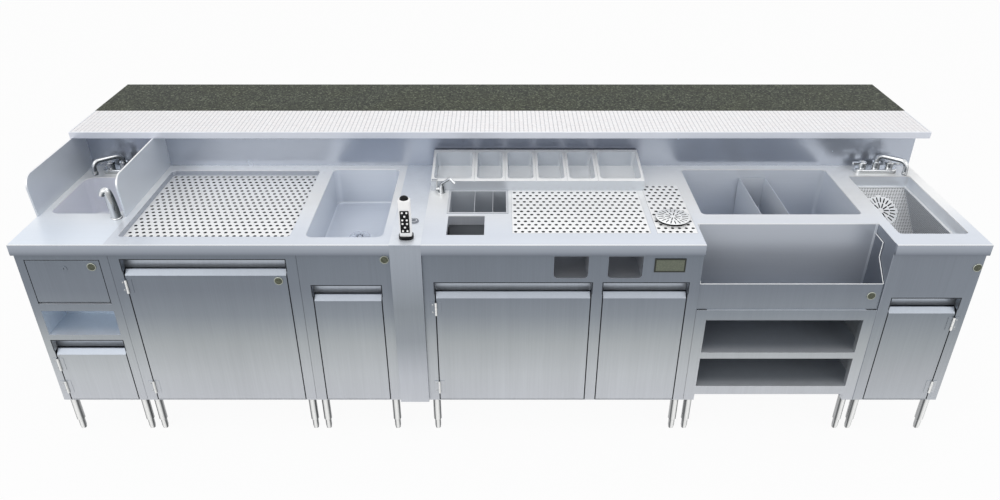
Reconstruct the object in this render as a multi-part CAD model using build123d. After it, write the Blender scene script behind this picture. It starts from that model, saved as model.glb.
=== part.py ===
from build123d import *
import math
import os

# Module widths along the front, left to right.
HAND_SINK_WIDTH = 304.8
DRAINBOARD_WIDTH = 609.6
ICE_WELL_WIDTH = 304.8
COLUMN_WIDTH = 101.6
COCKTAIL_WIDTH = 914.4
ICE_BIN_WIDTH = 609.6
DUMP_SINK_WIDTH = 304.8

# Overall heights and depths.
WORKTOP_HEIGHT = 800.0
WORKTOP_DEPTH = 620.0
LEG_HEIGHT = 152.0
BAR_RISE = 175.0
BAR_OVERHANG = 94.0
BAR_DEPTH = 542.0
TILE_DEPTH = 224.0

# Sheet metal and fits.
SHEET = 1.5
DECK = 2.0
APRON = 38.0
GAP = 2.5
SLIP = 0.5
RUNNING = 0.05

# Cabinets and their doors.
END_INSET = 3.0
SEAM_INSET = 0.5
FACE_SETBACK = 12.0
BACK_INSET = 4.0
FRAME_DEPTH = 20.0
STILE = 38.0
HAND_STILE = 30.0
DOOR = 20.0
PULL_DROP = 60.0
PULL_LIP = 16.0
HEADER_DEPTH = 36.0
HEADER_DROP = 50.0
HEADER_LAP = 8.0

# Tops of the front openings, below the worktop.
TOWEL_DOOR_TOP = 61.0
TOWEL_DOOR_BOTTOM = 233.0
NICHE_TOP = 261.0
NICHE_BOTTOM = 360.0
NICHE_DEPTH = 130.0
WASTE_DOOR_TOP = 385.0
GLASS_DOOR_TOP = 61.0
BOTTLE_DRAWER_TOP = 161.0
COCKTAIL_TOP_DROP = 150.0
COCKTAIL_DRAWER_WIDTH = 281.0
DUMP_DOOR_TOP = 211.0

# Hinges.
HINGE_LENGTH = 53.0
HINGE_BELOW_PULL = 14.0
HINGE_ABOVE_FLOOR = 35.0
BARREL_RADIUS = 3.8
BARREL_STANDOFF = 4.0
LEAF_WIDTH = 14.0
LEAF = 1.5
HINGE_TAB = 1.2
HINGE_PIN_RADIUS = 2.0
KNUCKLE_GAP = 0.5
TOWEL_ROUND = 9.9
PIVOT_RADIUS = 3.0
PIVOT_LENGTH = 9.0
LOCK_RADIUS = 8.0
LOCK_COLLAR = 10.5
LOCK_DROP = 33.0
LOCK_CAM = 40.0
LOCK_CAM_WIDTH = 10.0
LOCK_CAM_THICK = 2.5
KEYWAY = 1.8

# Drawers.
DRAWER_DEPTH = 470.0
DRAWER_BOX_HEIGHT = 230.0
DRAWER_FLOOR_RISE = 14.0
RAIL_WIDTH = 10.0
RAIL_HEIGHT = 14.0
RAIL_RISE = 90.0
RUNNER = 3.0

# Legs and feet.
LEG_RADIUS = 14.3
LEG_INSET = 24.0
LEG_FRONT = 38.0
LEG_REAR_INSET = 30.0
LEG_PLATE = 90.0
FOOT_RADIUS = 11.0
FOOT_HEIGHT = 50.0
FOOT_TIP_RADIUS = 9.0
STEM_RADIUS = 10.0
STEM_LENGTH = 30.0

# Bar top.
BAR_THICK = 25.0
TRAY = 3.0
NOSING = 5.0
TRAY_ROUND = 1.5
STONE_ROUND = 3.0
POST = 40.0
POST_WALL = 2.0
POST_GAP = 40.0
POST_COUNT = 5
POST_END_INSET = 300.0
ARM_DEPTH = 60.0
ARM_TIP = 20.0
ARM_SETBACK = 23.0
PLATE_SIZE = 120.0
PLATE_THICK = 6.0
PLATE_HOLE_SPACING = 90.0
PLATE_HOLE_RADIUS = 5.5

# Splash guards and backsplash.
GUARD = 6.0
GUARD_FOOT = 196.0
GUARD_NOSE = 183.0
GUARD_CORNER = 42.0

# Bowls and wells: margins to the module's sides and to the worktop's front and rear edge, depth.
HAND_BOWL = dict(margin=28.0, front=220.0, rear=105.0, depth=150.0, corner=35.0)
DRAIN_PAN = dict(margin=24.0, front=58.0, rear=46.0, depth=55.0, corner=14.0)
ICE_WELL = dict(margin=25.6, front=54.0, rear=32.0, depth=145.0, corner=25.0)
ICE_BIN = dict(margin=30.0, front=214.0, rear=35.0, depth=255.0, corner=18.0)
DUMP_BOWL = dict(margin=37.5, front=78.0, rear=93.0, depth=190.0, corner=12.0)
COVE = 10.0

# Drains.
DRAIN_HOLE = 25.0
DRAIN_FLANGE = 38.0
DRAIN_BODY = 24.0
DRAIN_TAIL = 19.05
DRAIN_BORE = 16.0
DRAIN_TAIL_LENGTH = 60.0
DRAIN_NECK = 14.0
STRAINER_HOLE = 3.0
STRAINER_RING = 10.0
STRAINER_COUNT = 8

# Perforated plates.
HOLE_RADIUS = 5.75
HOLE_PITCH = 22.8
HOLE_ROW = 24.3
HOLE_MARGIN = 3.0
GRATE = 2.0
GRATE_SINK = 20.0
DRIP_DEPTH = 32.0
DRIP_LEDGE = 6.0

# Cocktail station worktop, measured from its left end and its front edge.
CHUTE = dict(x0=78.0, x1=202.0, y0=69.0, y1=203.0)
CHUTE_LIP = 33.0
TOOL_WELL = dict(x0=77.0, x1=277.0, y0=225.0, y1=392.0)
TOOL_DEPTH = 110.0
TOOL_FLANGE = 6.0
TOOL_SPLITS = (88.0, 152.0)
WORK_GRATE = dict(x0=294.0, x1=750.0, y0=80.0, y1=393.0)
RINSER_STRIP = dict(x0=770.0, x1=904.0, y0=80.0, y1=442.0)
RINSER_X = 838.0
RINSER_Y = 181.0
RINSER_RADIUS = 58.0
RINSER_STEM = 5.0
RINSER_LIFT = 5.5
RINSER_ARMS = 20
RINSER_CUP = 25.0
RINSER_RISE = 1.0
STAR = 3.0
STAR_HUB = 17.0
STAR_ARM = 4.2
TOWEL_SLOTS = (430.0, 607.0)
TOWEL_SLOT_WIDTH = 112.0
TOWEL_SLOT_TOP = 48.0
TOWEL_SLOT_BOTTOM = 131.0
TOWEL_SLOT_CORNER = 14.0
TOWEL_TRAY_DEPTH = 150.0
NAMEPLATE = dict(x0=757.0, x1=858.0, top=56.0, bottom=106.0)
BADGE_RADIUS = 14.5
BADGE = 2.0
TOWEL_BADGE_DROP = 87.0
GLASS_BADGE_DROP = 141.0
ICE_BADGE_DROP = 60.0
DUMP_BADGE_DROP = 90.0
TROUGH_BADGE_DROP = 203.0
BADGE_INSET = 30.0

# Garnish rail and its pans, measured from the cocktail station's left end.
GARNISH_LEFT = 5.0
GARNISH_DEPTH = 211.0
GARNISH_REAR_INSET = 8.0
GARNISH_FRONT_RISE = 36.0
GARNISH_REAR_RISE = 68.0
PAN_WIDTHS = (156.0, 112.0, 112.0, 112.0, 112.0, 166.0)
PAN_DEPTH = 58.0
PAN_WALL = 1.5
PAN_FLANGE = 2.0
PAN_RIM_CORNER = 3.0
PAN_SIDE_LAP = 8.0
PAN_END_LAP = 15.0
PAN_TAPER = 4.0
PAN_CORNER = 16.0
RAIL_LEDGE = 12.0

# Ice bin, speed rail and bottle shelves.
BIN_FRONT = 148.0
TROUGH_FRONT = 17.0
TROUGH_LIP = 157.0
TROUGH_FLOOR = 250.0
TROUGH_SEAM = 258.0
END_TOP = 38.0
END_STEP = 94.0
END_STEP_FRONT = 87.0
SHELF_RAIL_BOTTOM = 299.0
SHELF_TOPS = (436.0, 585.0)
SHELF_LIPS = (26.0, 37.0)
DIVIDERS = (255.0, 353.0)
DIVIDER = 2.0
DIVIDER_DEPTH = 225.0
SPACER_HEIGHT = 112.0

# Dump basket.
BASKET_DROP = 44.0
BASKET_LEDGE = 8.0
BASKET_LEDGE_INSET = 20.0
BASKET_FLOOR = 165.0
BASKET_SLOPE = 40.0
ROSETTE_DEPTH = 20.0
ROSETTE_RINGS = ((22, 44.0, 20.0), (11, 21.0, 20.0))
ROSETTE_SLOT_WIDTH = 4.5

# Faucets and dispensers.
FAUCET_LENGTH = 160.0
FAUCET_WIDTH = 50.0
FAUCET_BASE = 16.0
FAUCET_CENTRES = 101.6
FAUCET_REAR_INSET = 52.0
FAUCET_ROUND = 6.0
FAUCET_POST = 12.0
POST_STEP = 1.0
SPOUT_RADIUS = 9.0
SPOUT_RISE = 52.0
SPOUT_REACH = 105.0
SPOUT_DROP = 26.0
SPOUT_BEND = 24.0
HANDLE_RADIUS = 15.0
HANDLE_HEIGHT = 12.0
HANDLE_ROUND = 4.0
LEVER_LENGTH = 40.0
LEVER_WIDTH = 12.0
LEVER_THICK = 7.0
HAND_SPOUT_TURN = -50.0
DUMP_SPOUT_TURN = 50.0
SHANK_RADIUS = 10.0
SHANK_LENGTH = 40.0
BAR_FAUCET_X = 44.0
BAR_FAUCET_Y = 386.0
BAR_FAUCET_RADIUS = 9.0
BAR_FAUCET_FLANGE = 13.0
BAR_FLANGE_THICK = 4.0
BAR_FAUCET_POST = 20.0
BAR_SPOUT_RADIUS = 4.5
BAR_SPOUT_FOOT = 34.0
BAR_SPOUT_RISE = 63.0
BAR_SPOUT_PEAK = 38.0
BAR_SPOUT_REACH = 58.0
BAR_SPOUT_DROP = 15.0
BAR_SPOUT_BEND = 8.0
BAR_SPOUT_TURN = 60.0
BAR_COLLAR = 7.0
BAR_COLLAR_RADIUS = 8.5
BAR_VALVE_RISE = 13.0
BAR_VALVE_RADIUS = 6.0
BAR_VALVE_REACH = 13.0
BAR_LEVER_HEIGHT = 38.0
BAR_LEVER_WIDTH = 7.0
BAR_LEVER_THICK = 5.0
BAR_PADDLE = 18.0
SOAP_SIDE_INSET = 29.8
SOAP_Y = 188.0
SOAP_RADIUS = 19.0
SOAP_FOOT = 5.0
SOAP_TUBE = 15.0
SOAP_LEAN = 14.0
SOAP_PEAK = 122.0
SOAP_TIP = 106.0
SOAP_REACH = 36.0
SOAP_FORWARD = 10.0
SOAP_BEND = 16.0

# Soda gun, measured from the column's left side and the front edge.
GUN_X = 52.0
GUN_Y = 52.0
GUN_WIDTH = 40.0
GUN_DEPTH = 32.0
GUN_HEIGHT = 132.0
GUN_CORNER = 12.0
GUN_SEAT = 3.0
HOLDER_HEIGHT = 12.0
HOLDER_WALL = 3.0
KEYPAD = 2.0
KEY_RADIUS = 4.0
KEY_RISE = 1.2
KEY_SPREAD = 6.5
KEYPAD_WIDTH = 26.0
KEYPAD_RISE = 24.0
KEYPAD_LENGTH = 78.0
GUN_CAP = 15.0
GUN_CAP_ROUND = 11.0
KEY_ROWS = (2, 1, 2, 2, 1, 2)
GROMMET_X = 66.0
GROMMET_Y = 163.0
GROMMET_RADIUS = 16.0
GROMMET_BORE = 8.0
GROMMET_RISE = 5.0

LENGTH = (
    HAND_SINK_WIDTH + DRAINBOARD_WIDTH + ICE_WELL_WIDTH + COLUMN_WIDTH
    + COCKTAIL_WIDTH + ICE_BIN_WIDTH + DUMP_SINK_WIDTH
)
BAR_FRONT = WORKTOP_DEPTH - BAR_OVERHANG
DEPTH = BAR_FRONT + BAR_DEPTH
LEFT = -LENGTH / 2
RIGHT = LENGTH / 2
FRONT = -DEPTH / 2
TOP = WORKTOP_HEIGHT
FACE = FRONT + FACE_SETBACK
REAR = FRONT + WORKTOP_DEPTH
BACK = REAR - BACK_INSET
FLOOR = LEG_HEIGHT
UNDER = TOP - DECK
BAR_UNDER = TOP + BAR_RISE - BAR_THICK

# Left side of each module.
HAND_LEFT = LEFT
GLASS_LEFT = HAND_LEFT + HAND_SINK_WIDTH
ICE_LEFT = GLASS_LEFT + DRAINBOARD_WIDTH
COLUMN_LEFT = ICE_LEFT + ICE_WELL_WIDTH
BAR_LEFT = COLUMN_LEFT + COLUMN_WIDTH
BIN_LEFT = BAR_LEFT + COCKTAIL_WIDTH
DUMP_LEFT = BIN_LEFT + ICE_BIN_WIDTH
CABINETS = (
    (HAND_LEFT, HAND_SINK_WIDTH),
    (GLASS_LEFT, DRAINBOARD_WIDTH),
    (ICE_LEFT, ICE_WELL_WIDTH),
    (BAR_LEFT, COCKTAIL_WIDTH),
    (BIN_LEFT, ICE_BIN_WIDTH),
    (DUMP_LEFT, DUMP_SINK_WIDTH),
)

nodes = {}


def add(node, *pieces):
    """Put separate solids into a named node."""
    nodes.setdefault(node, []).extend(solid for piece in pieces for solid in piece.solids())


def block(x0, x1, y0, y1, z0, z1):
    """Box between two corners."""
    centre = Pos((x0 + x1) / 2, (y0 + y1) / 2, (z0 + z1) / 2)
    return centre * Box(x1 - x0, y1 - y0, z1 - z0)


def prism_x(points, x0, x1):
    """Prism with a (Y, Z) outline, between two X stations."""
    outline = Polyline(*[(x0, y, z) for y, z in points], close=True)
    return extrude(make_face(outline), amount=x1 - x0, dir=(1, 0, 0))


def rod(x, y, z0, z1, radius):
    """Upright cylinder."""
    return Pos(x, y, (z0 + z1) / 2) * Cylinder(radius, z1 - z0)


def rounded(x0, x1, y0, y1, z0, z1, corner):
    """Upright block with rounded vertical edges."""
    outline = RectangleRounded(x1 - x0, y1 - y0, corner)
    return Pos((x0 + x1) / 2, (y0 + y1) / 2, z0) * extrude(outline, amount=z1 - z0)


def tube_z(x0, x1, y0, y1, z0, z1, wall=SHEET):
    """Upright rectangular tube."""
    bore = block(x0 + wall, x1 - wall, y0 + wall, y1 - wall, z0 - 1, z1 + 1)
    return block(x0, x1, y0, y1, z0, z1) - bore


def tube_x(x0, x1, y0, y1, z0, z1, wall=SHEET):
    """Rectangular tube lying along X."""
    bore = block(x0 - 1, x1 + 1, y0 + wall, y1 - wall, z0 + wall, z1 - wall)
    return block(x0, x1, y0, y1, z0, z1) - bore


def below(drop):
    """Height of a point given by its drop below the worktop."""
    return TOP - drop


# Legs with levelling feet under the six cabinets.
leg_tube = Cylinder(LEG_RADIUS, FLOOR - FOOT_HEIGHT) - Cylinder(LEG_RADIUS - SHEET, FLOOR)
foot_outline = Polyline(
    (0, 0),
    (FOOT_TIP_RADIUS, 0),
    (FOOT_RADIUS, FOOT_HEIGHT / 4),
    (FOOT_RADIUS, FOOT_HEIGHT * 0.8),
    (LEG_RADIUS, FOOT_HEIGHT * 0.9),
    (LEG_RADIUS, FOOT_HEIGHT),
    (STEM_RADIUS, FOOT_HEIGHT),
    (STEM_RADIUS, FOOT_HEIGHT + STEM_LENGTH),
    (0, FOOT_HEIGHT + STEM_LENGTH),
    close=True,
)
foot = revolve(Plane.XZ * make_face(foot_outline), axis=Axis.Z)
for left, width in CABINETS:
    for x in (left + LEG_INSET, left + width - LEG_INSET):
        for y in (FRONT + LEG_FRONT, REAR - LEG_REAR_INSET):
            add("legs", Pos(x, y, (FLOOR + FOOT_HEIGHT) / 2) * leg_tube)
            add("leveling_feet", Pos(x, y, 0) * foot)


def outer_sides(left, width):
    """X of the outer faces of a cabinet's two side panels."""
    x0 = left + (END_INSET if left == HAND_LEFT else SEAM_INSET)
    x1 = left + width - (END_INSET if left == DUMP_LEFT else SEAM_INSET)
    return x0, x1


def inner_sides(left, width):
    """X of the inner faces of a cabinet's two side panels."""
    x0, x1 = outer_sides(left, width)
    return x0 + SHEET, x1 - SHEET


def carcass(node, left, width, frame_top, stile=STILE, upper_front=FACE + FRAME_DEPTH, open_floor=False):
    """Side, back and bottom panels and two front stiles; above them the sides start at upper_front.

    With an open floor there are only plates that carry the legs."""
    x0, x1 = outer_sides(left, width)
    base = FLOOR + SHEET
    frame_back = FACE + FRAME_DEPTH
    floors = [(x0, x1, FACE, BACK)]
    if open_floor:
        floors = [
            (x0, left + stile, FACE, FACE + LEG_PLATE),
            (left + width - stile, x1, FACE, FACE + LEG_PLATE),
            (x0, x1, BACK - LEG_PLATE, BACK),
        ]
    for floor_x0, floor_x1, floor_y0, floor_y1 in floors:
        add(node, block(floor_x0, floor_x1, floor_y0, floor_y1, FLOOR, base))
    add(node, block(x0, x1, BACK - SHEET, BACK, base, UNDER))
    for x in (x0, x1 - SHEET):
        add(node, block(x, x + SHEET, frame_back, BACK - SHEET, base, frame_top))
        if frame_top < UNDER:
            add(node, block(x, x + SHEET, upper_front, BACK - SHEET, frame_top, UNDER))
    add(node, tube_z(x0, left + stile, FACE, frame_back, base, frame_top))
    add(node, tube_z(left + width - stile, x1, FACE, frame_back, base, frame_top))


def rail(node, x0, x1, drop_top, drop_bottom):
    """Level face-frame rail between two stiles."""
    add(node, tube_x(x0, x1, FACE, FACE + FRAME_DEPTH, below(drop_bottom), below(drop_top)))


def header(node, x0, x1, opening_top):
    """Recessed strip behind a finger pull, from side to side of its compartment."""
    y = FACE + HEADER_DEPTH
    strip_bottom = below(opening_top + HEADER_DROP)
    add(node, block(x0, x1, y, y + SHEET, strip_bottom, below(opening_top - HEADER_LAP)))


# Hand sink cabinet: towel compartment, open niche and waste compartment.
hand_x0 = HAND_LEFT + HAND_STILE
hand_x1 = HAND_LEFT + HAND_SINK_WIDTH - HAND_STILE
carcass("hand_sink_cabinet", HAND_LEFT, HAND_SINK_WIDTH, UNDER, HAND_STILE)
for drop_top, drop_bottom in (
    (DECK, TOWEL_DOOR_TOP),
    (TOWEL_DOOR_BOTTOM, NICHE_TOP),
    (NICHE_BOTTOM, WASTE_DOOR_TOP),
):
    rail("hand_sink_cabinet", hand_x0, hand_x1, drop_top, drop_bottom)
niche_back = FACE + NICHE_DEPTH
niche_top = below(NICHE_TOP)
niche_floor = below(NICHE_BOTTOM)
niche_front = FACE + FRAME_DEPTH
add(
    "hand_sink_cabinet",
    block(hand_x0, hand_x1, niche_front, niche_back, niche_floor - SHEET, niche_floor),
    block(hand_x0, hand_x1, niche_front, niche_back, niche_top, niche_top + SHEET),
    block(hand_x0, hand_x1, niche_back, niche_back + SHEET, niche_floor - SHEET, niche_top + SHEET),
    block(hand_x0 - SHEET, hand_x0, niche_front, niche_back, niche_floor - SHEET, niche_top + SHEET),
    block(hand_x1, hand_x1 + SHEET, niche_front, niche_back, niche_floor - SHEET, niche_top + SHEET),
)
header("hand_sink_cabinet", *inner_sides(HAND_LEFT, HAND_SINK_WIDTH), WASTE_DOOR_TOP)

# Glass cabinet under the drainboard.
carcass("glass_cabinet", GLASS_LEFT, DRAINBOARD_WIDTH, UNDER)
glass_x0 = GLASS_LEFT + STILE
glass_x1 = GLASS_LEFT + DRAINBOARD_WIDTH - STILE
rail("glass_cabinet", glass_x0, glass_x1, DECK, GLASS_DOOR_TOP)
header("glass_cabinet", *inner_sides(GLASS_LEFT, DRAINBOARD_WIDTH), GLASS_DOOR_TOP)

# Ice well cabinet with its bottle drawer.
carcass("ice_well_cabinet", ICE_LEFT, ICE_WELL_WIDTH, UNDER)
bottle_x0 = ICE_LEFT + STILE
bottle_x1 = ICE_LEFT + ICE_WELL_WIDTH - STILE
rail("ice_well_cabinet", bottle_x0, bottle_x1, DECK, BOTTLE_DRAWER_TOP)
header("ice_well_cabinet", *inner_sides(ICE_LEFT, ICE_WELL_WIDTH), BOTTLE_DRAWER_TOP)

# Cocktail cabinet: door on the left, drawer on the right, partition between them.
carcass("cocktail_cabinet", BAR_LEFT, COCKTAIL_WIDTH, below(COCKTAIL_TOP_DROP), upper_front=FACE + SHEET)
bar_x0 = BAR_LEFT + STILE
bar_x1 = BAR_LEFT + COCKTAIL_WIDTH - STILE
drawer_x0 = bar_x1 - COCKTAIL_DRAWER_WIDTH
door_x1 = drawer_x0 - STILE
partition = (door_x1 + drawer_x0 - SHEET) / 2
add(
    "cocktail_cabinet",
    tube_z(door_x1, drawer_x0, FACE, FACE + FRAME_DEPTH, FLOOR + SHEET, below(COCKTAIL_TOP_DROP)),
    block(
        partition, partition + SHEET, FACE + FRAME_DEPTH, BACK - SHEET,
        FLOOR + SHEET, below(COCKTAIL_TOP_DROP),
    ),
)
bar_inner0, bar_inner1 = inner_sides(BAR_LEFT, COCKTAIL_WIDTH)
header("cocktail_cabinet", bar_inner0, partition, COCKTAIL_TOP_DROP)
header("cocktail_cabinet", partition + SHEET, bar_inner1, COCKTAIL_TOP_DROP)

# Upper front panel with two towel slots, and a tray behind each slot.
slot_height = TOWEL_SLOT_BOTTOM - TOWEL_SLOT_TOP
panel_x0, panel_x1 = outer_sides(BAR_LEFT, COCKTAIL_WIDTH)
panel = block(panel_x0, panel_x1, FACE, FACE + SHEET, below(COCKTAIL_TOP_DROP), UNDER)
for offset in TOWEL_SLOTS:
    x0 = BAR_LEFT + offset
    x1 = x0 + TOWEL_SLOT_WIDTH
    slot = Pos((x0 + x1) / 2, FACE, below((TOWEL_SLOT_TOP + TOWEL_SLOT_BOTTOM) / 2)) * Box(
        TOWEL_SLOT_WIDTH, 4 * SHEET, slot_height
    )
    slot = fillet(slot.edges().filter_by(Axis.Y).group_by(Axis.Z)[0], TOWEL_SLOT_CORNER)
    panel -= slot
    y0 = FACE + SHEET
    y1 = y0 + TOWEL_TRAY_DEPTH
    z0 = below(TOWEL_SLOT_BOTTOM)
    z1 = below(TOWEL_SLOT_TOP)
    add(
        "cocktail_cabinet",
        block(x0 - SHEET, x1 + SHEET, y0, y1, z0 - SHEET, z0),
        block(x0 - SHEET, x1 + SHEET, y1, y1 + SHEET, z0 - SHEET, z1),
        block(x0 - SHEET, x0, y0, y1, z0, z1),
        block(x1, x1 + SHEET, y0, y1, z0, z1),
    )
add("towel_panel", panel)
plate_x0 = BAR_LEFT + NAMEPLATE["x0"]
plate_x1 = BAR_LEFT + NAMEPLATE["x1"]
add(
    "cocktail_cabinet",
    block(plate_x0, plate_x1, FACE - BADGE, FACE, below(NAMEPLATE["bottom"]), below(NAMEPLATE["top"])),
)


def badge(x, drop):
    """Plain round badge on a front face."""
    disc = Pos(x, FACE - BADGE / 2, below(drop)) * Rot(X=90) * Cylinder(BADGE_RADIUS, BADGE)
    return chamfer(disc.edges().group_by(Axis.Y)[0], BADGE / 2)


# Speed rail cabinet: open bottle shelves under the ice bin.
shelf_x0 = BIN_LEFT + STILE
shelf_x1 = BIN_LEFT + ICE_BIN_WIDTH - STILE
carcass(
    "speed_rail_cabinet", BIN_LEFT, ICE_BIN_WIDTH, below(TROUGH_SEAM),
    upper_front=FRONT + BIN_FRONT + DECK, open_floor=True,
)
rail("speed_rail_cabinet", shelf_x0, shelf_x1, TROUGH_SEAM, SHELF_RAIL_BOTTOM)
bin_inner0, bin_inner1 = inner_sides(BIN_LEFT, ICE_BIN_WIDTH)
for shelf_top, lip in zip(SHELF_TOPS, SHELF_LIPS):
    z = below(shelf_top)
    shelf_front = FACE + FRAME_DEPTH
    add(
        "speed_rail_cabinet",
        block(bin_inner0, bin_inner1, shelf_front, BACK - SHEET, z - SHEET, z),
        tube_x(shelf_x0, shelf_x1, FACE, shelf_front, z - lip, z),
    )

# Dump sink cabinet.
carcass("dump_cabinet", DUMP_LEFT, DUMP_SINK_WIDTH, UNDER)
dump_x0 = DUMP_LEFT + STILE
dump_x1 = DUMP_LEFT + DUMP_SINK_WIDTH - STILE
rail("dump_cabinet", dump_x0, dump_x1, DECK, DUMP_DOOR_TOP)
header("dump_cabinet", *inner_sides(DUMP_LEFT, DUMP_SINK_WIDTH), DUMP_DOOR_TOP)

# Round badges on the fixed fronts.
add("ice_well_cabinet", badge(bottle_x1 + STILE / 2, ICE_BADGE_DROP))
add("dump_cabinet", badge(dump_x1 + STILE / 2, DUMP_BADGE_DROP))

# Soda column between the ice well and the cocktail station.
column_x1 = COLUMN_LEFT + COLUMN_WIDTH
add(
    "soda_column",
    block(COLUMN_LEFT, column_x1, FRONT, FRONT + SHEET, FLOOR, UNDER),
    block(COLUMN_LEFT, COLUMN_LEFT + SHEET, FRONT + SHEET, REAR - SHEET, FLOOR, UNDER),
    block(column_x1 - SHEET, column_x1, FRONT + SHEET, REAR - SHEET, FLOOR, UNDER),
    block(COLUMN_LEFT, column_x1, REAR - SHEET, REAR, FLOOR, UNDER),
    block(COLUMN_LEFT, column_x1, FRONT, REAR, UNDER, TOP),
)


def deck(left, width, front=FRONT, apron=APRON, end=None):
    """Worktop sheet with its front edge turned down, and one end on the outer modules."""
    sheet = block(left, left + width, front, REAR, UNDER, TOP)
    sheet += block(left, left + width, front, front + DECK, TOP - apron, TOP)
    if end == "left":
        sheet += block(left, left + DECK, front, REAR, TOP - apron, TOP)
    if end == "right":
        sheet += block(left + width - DECK, left + width, front, REAR, TOP - apron, TOP)
    return sheet


def opening(left, width, well):
    """Corners of a bowl's opening in a worktop."""
    return (
        left + well["margin"], left + width - well["margin"],
        FRONT + well["front"], REAR - well["rear"],
    )


def bowl(left, width, well):
    """Drawn bowl with rounded corners and a coved floor, hung under its opening."""
    x0, x1, y0, y1 = opening(left, width, well)
    corner = well["corner"]
    floor = TOP - well["depth"]
    outer = rounded(x0 - SHEET, x1 + SHEET, y0 - SHEET, y1 + SHEET, floor - SHEET, UNDER, corner + SHEET)
    outer = fillet(outer.edges().group_by(Axis.Z)[0], COVE + SHEET)
    inner = rounded(x0, x1, y0, y1, floor, UNDER + 1, corner)
    inner = fillet(inner.edges().group_by(Axis.Z)[0], COVE)
    drain = rod((x0 + x1) / 2, (y0 + y1) / 2, floor - 2 * SHEET, floor + SHEET, DRAIN_HOLE)
    return outer - inner - drain


def cut_opening(left, width, well):
    """Cutter for a bowl's opening in its worktop."""
    x0, x1, y0, y1 = opening(left, width, well)
    return rounded(x0, x1, y0, y1, UNDER - 1, TOP + 1, well["corner"])


drain_outline = Polyline(
    (DRAIN_BORE, SHEET),
    (DRAIN_FLANGE, 0),
    (DRAIN_BODY, 0),
    (DRAIN_BODY, -DRAIN_NECK),
    (DRAIN_TAIL, -DRAIN_NECK),
    (DRAIN_TAIL, -DRAIN_NECK - DRAIN_TAIL_LENGTH),
    (DRAIN_BORE, -DRAIN_NECK - DRAIN_TAIL_LENGTH),
    close=True,
)
drain_fitting = revolve(Plane.XZ * make_face(drain_outline), axis=Axis.Z)
strainer = rod(0, 0, -SHEET, 0, DRAIN_BORE)
for i in range(STRAINER_COUNT):
    strainer -= Rot(Z=360 * i / STRAINER_COUNT) * rod(STRAINER_RING, 0, -2 * SHEET, SHEET, STRAINER_HOLE)
drain_fitting += strainer

# Worktops with bowls and wells, each with its drain; the outer two also carry a faucet.
for node, left, width, well, front, apron, end in (
    ("hand_sink_top", HAND_LEFT, HAND_SINK_WIDTH, HAND_BOWL, FRONT, APRON, "left"),
    ("drainboard_top", GLASS_LEFT, DRAINBOARD_WIDTH, DRAIN_PAN, FRONT, APRON, None),
    ("ice_well_top", ICE_LEFT, ICE_WELL_WIDTH, ICE_WELL, FRONT, APRON, None),
    ("ice_bin_top", BIN_LEFT, ICE_BIN_WIDTH, ICE_BIN, FRONT + BIN_FRONT, TROUGH_SEAM, None),
    ("dump_sink_top", DUMP_LEFT, DUMP_SINK_WIDTH, DUMP_BOWL, FRONT, APRON, "right"),
):
    sheet = deck(left, width, front, apron, end) - cut_opening(left, width, well)
    if end:
        for side in (-1, 1):
            shank_x = left + width / 2 + side * FAUCET_CENTRES / 2
            sheet -= rod(shank_x, REAR - FAUCET_REAR_INSET, UNDER - 1, TOP + 1, SHANK_RADIUS + SLIP)
    add(node, sheet, bowl(left, width, well))
    x0, x1, y0, y1 = opening(left, width, well)
    add("sink_drains", Pos((x0 + x1) / 2, (y0 + y1) / 2, TOP - well["depth"]) * drain_fitting)

# Ledge inside the dump sink that carries its basket.
dump_bx0, dump_bx1, dump_by0, dump_by1 = opening(DUMP_LEFT, DUMP_SINK_WIDTH, DUMP_BOWL)
ledge_top = below(BASKET_DROP + SHEET)
ledge_y0 = dump_by0 + BASKET_LEDGE_INSET
ledge_y1 = dump_by1 - BASKET_LEDGE_INSET
add(
    "dump_sink_top",
    block(dump_bx0, dump_bx0 + BASKET_LEDGE, ledge_y0, ledge_y1, ledge_top - SHEET, ledge_top),
    block(dump_bx1 - BASKET_LEDGE, dump_bx1, ledge_y0, ledge_y1, ledge_top - SHEET, ledge_top),
)


def box_of(place):
    """Corners of a feature given from the cocktail station's left end and front edge."""
    return BAR_LEFT + place["x0"], BAR_LEFT + place["x1"], FRONT + place["y0"], FRONT + place["y1"]


def hole_centres(x0, x1, y0, y1, first):
    """Staggered hole centres that fill a rectangle, centred in it; the front row starts at column first."""
    columns = int((x1 - x0 - 2 * HOLE_RADIUS) / (HOLE_PITCH / 2)) + 1
    rows = int((y1 - y0 - 2 * HOLE_RADIUS) / HOLE_ROW) + 1
    start_x = (x0 + x1 - (columns - 1) * HOLE_PITCH / 2) / 2
    start_y = (y0 + y1 - (rows - 1) * HOLE_ROW) / 2
    for i in range(columns):
        for j in range(rows):
            if (i + j) % 2 == first:
                yield start_x + i * HOLE_PITCH / 2, start_y + j * HOLE_ROW


def perforated(x0, x1, y0, y1, top, first=0, keep_out=None):
    """Flat plate full of round holes, with no hole inside an optional (x, y, radius) circle."""
    wires = []
    margin = HOLE_MARGIN
    for x, y in hole_centres(x0 + margin, x1 - margin, y0 + margin, y1 - margin, first):
        if keep_out and math.hypot(x - keep_out[0], y - keep_out[1]) < keep_out[2]:
            continue
        wires.append(Wire.make_circle(HOLE_RADIUS, Plane((x, y, top - GRATE))))
    if keep_out:
        wires.append(Wire.make_circle(RINSER_CUP, Plane((keep_out[0], keep_out[1], top - GRATE))))
    outline = Wire.make_polygon(
        [(x0, y0, top - GRATE), (x1, y0, top - GRATE), (x1, y1, top - GRATE), (x0, y1, top - GRATE)]
    )
    return extrude(Face(outline, wires), amount=GRATE, dir=(0, 0, 1))


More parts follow.
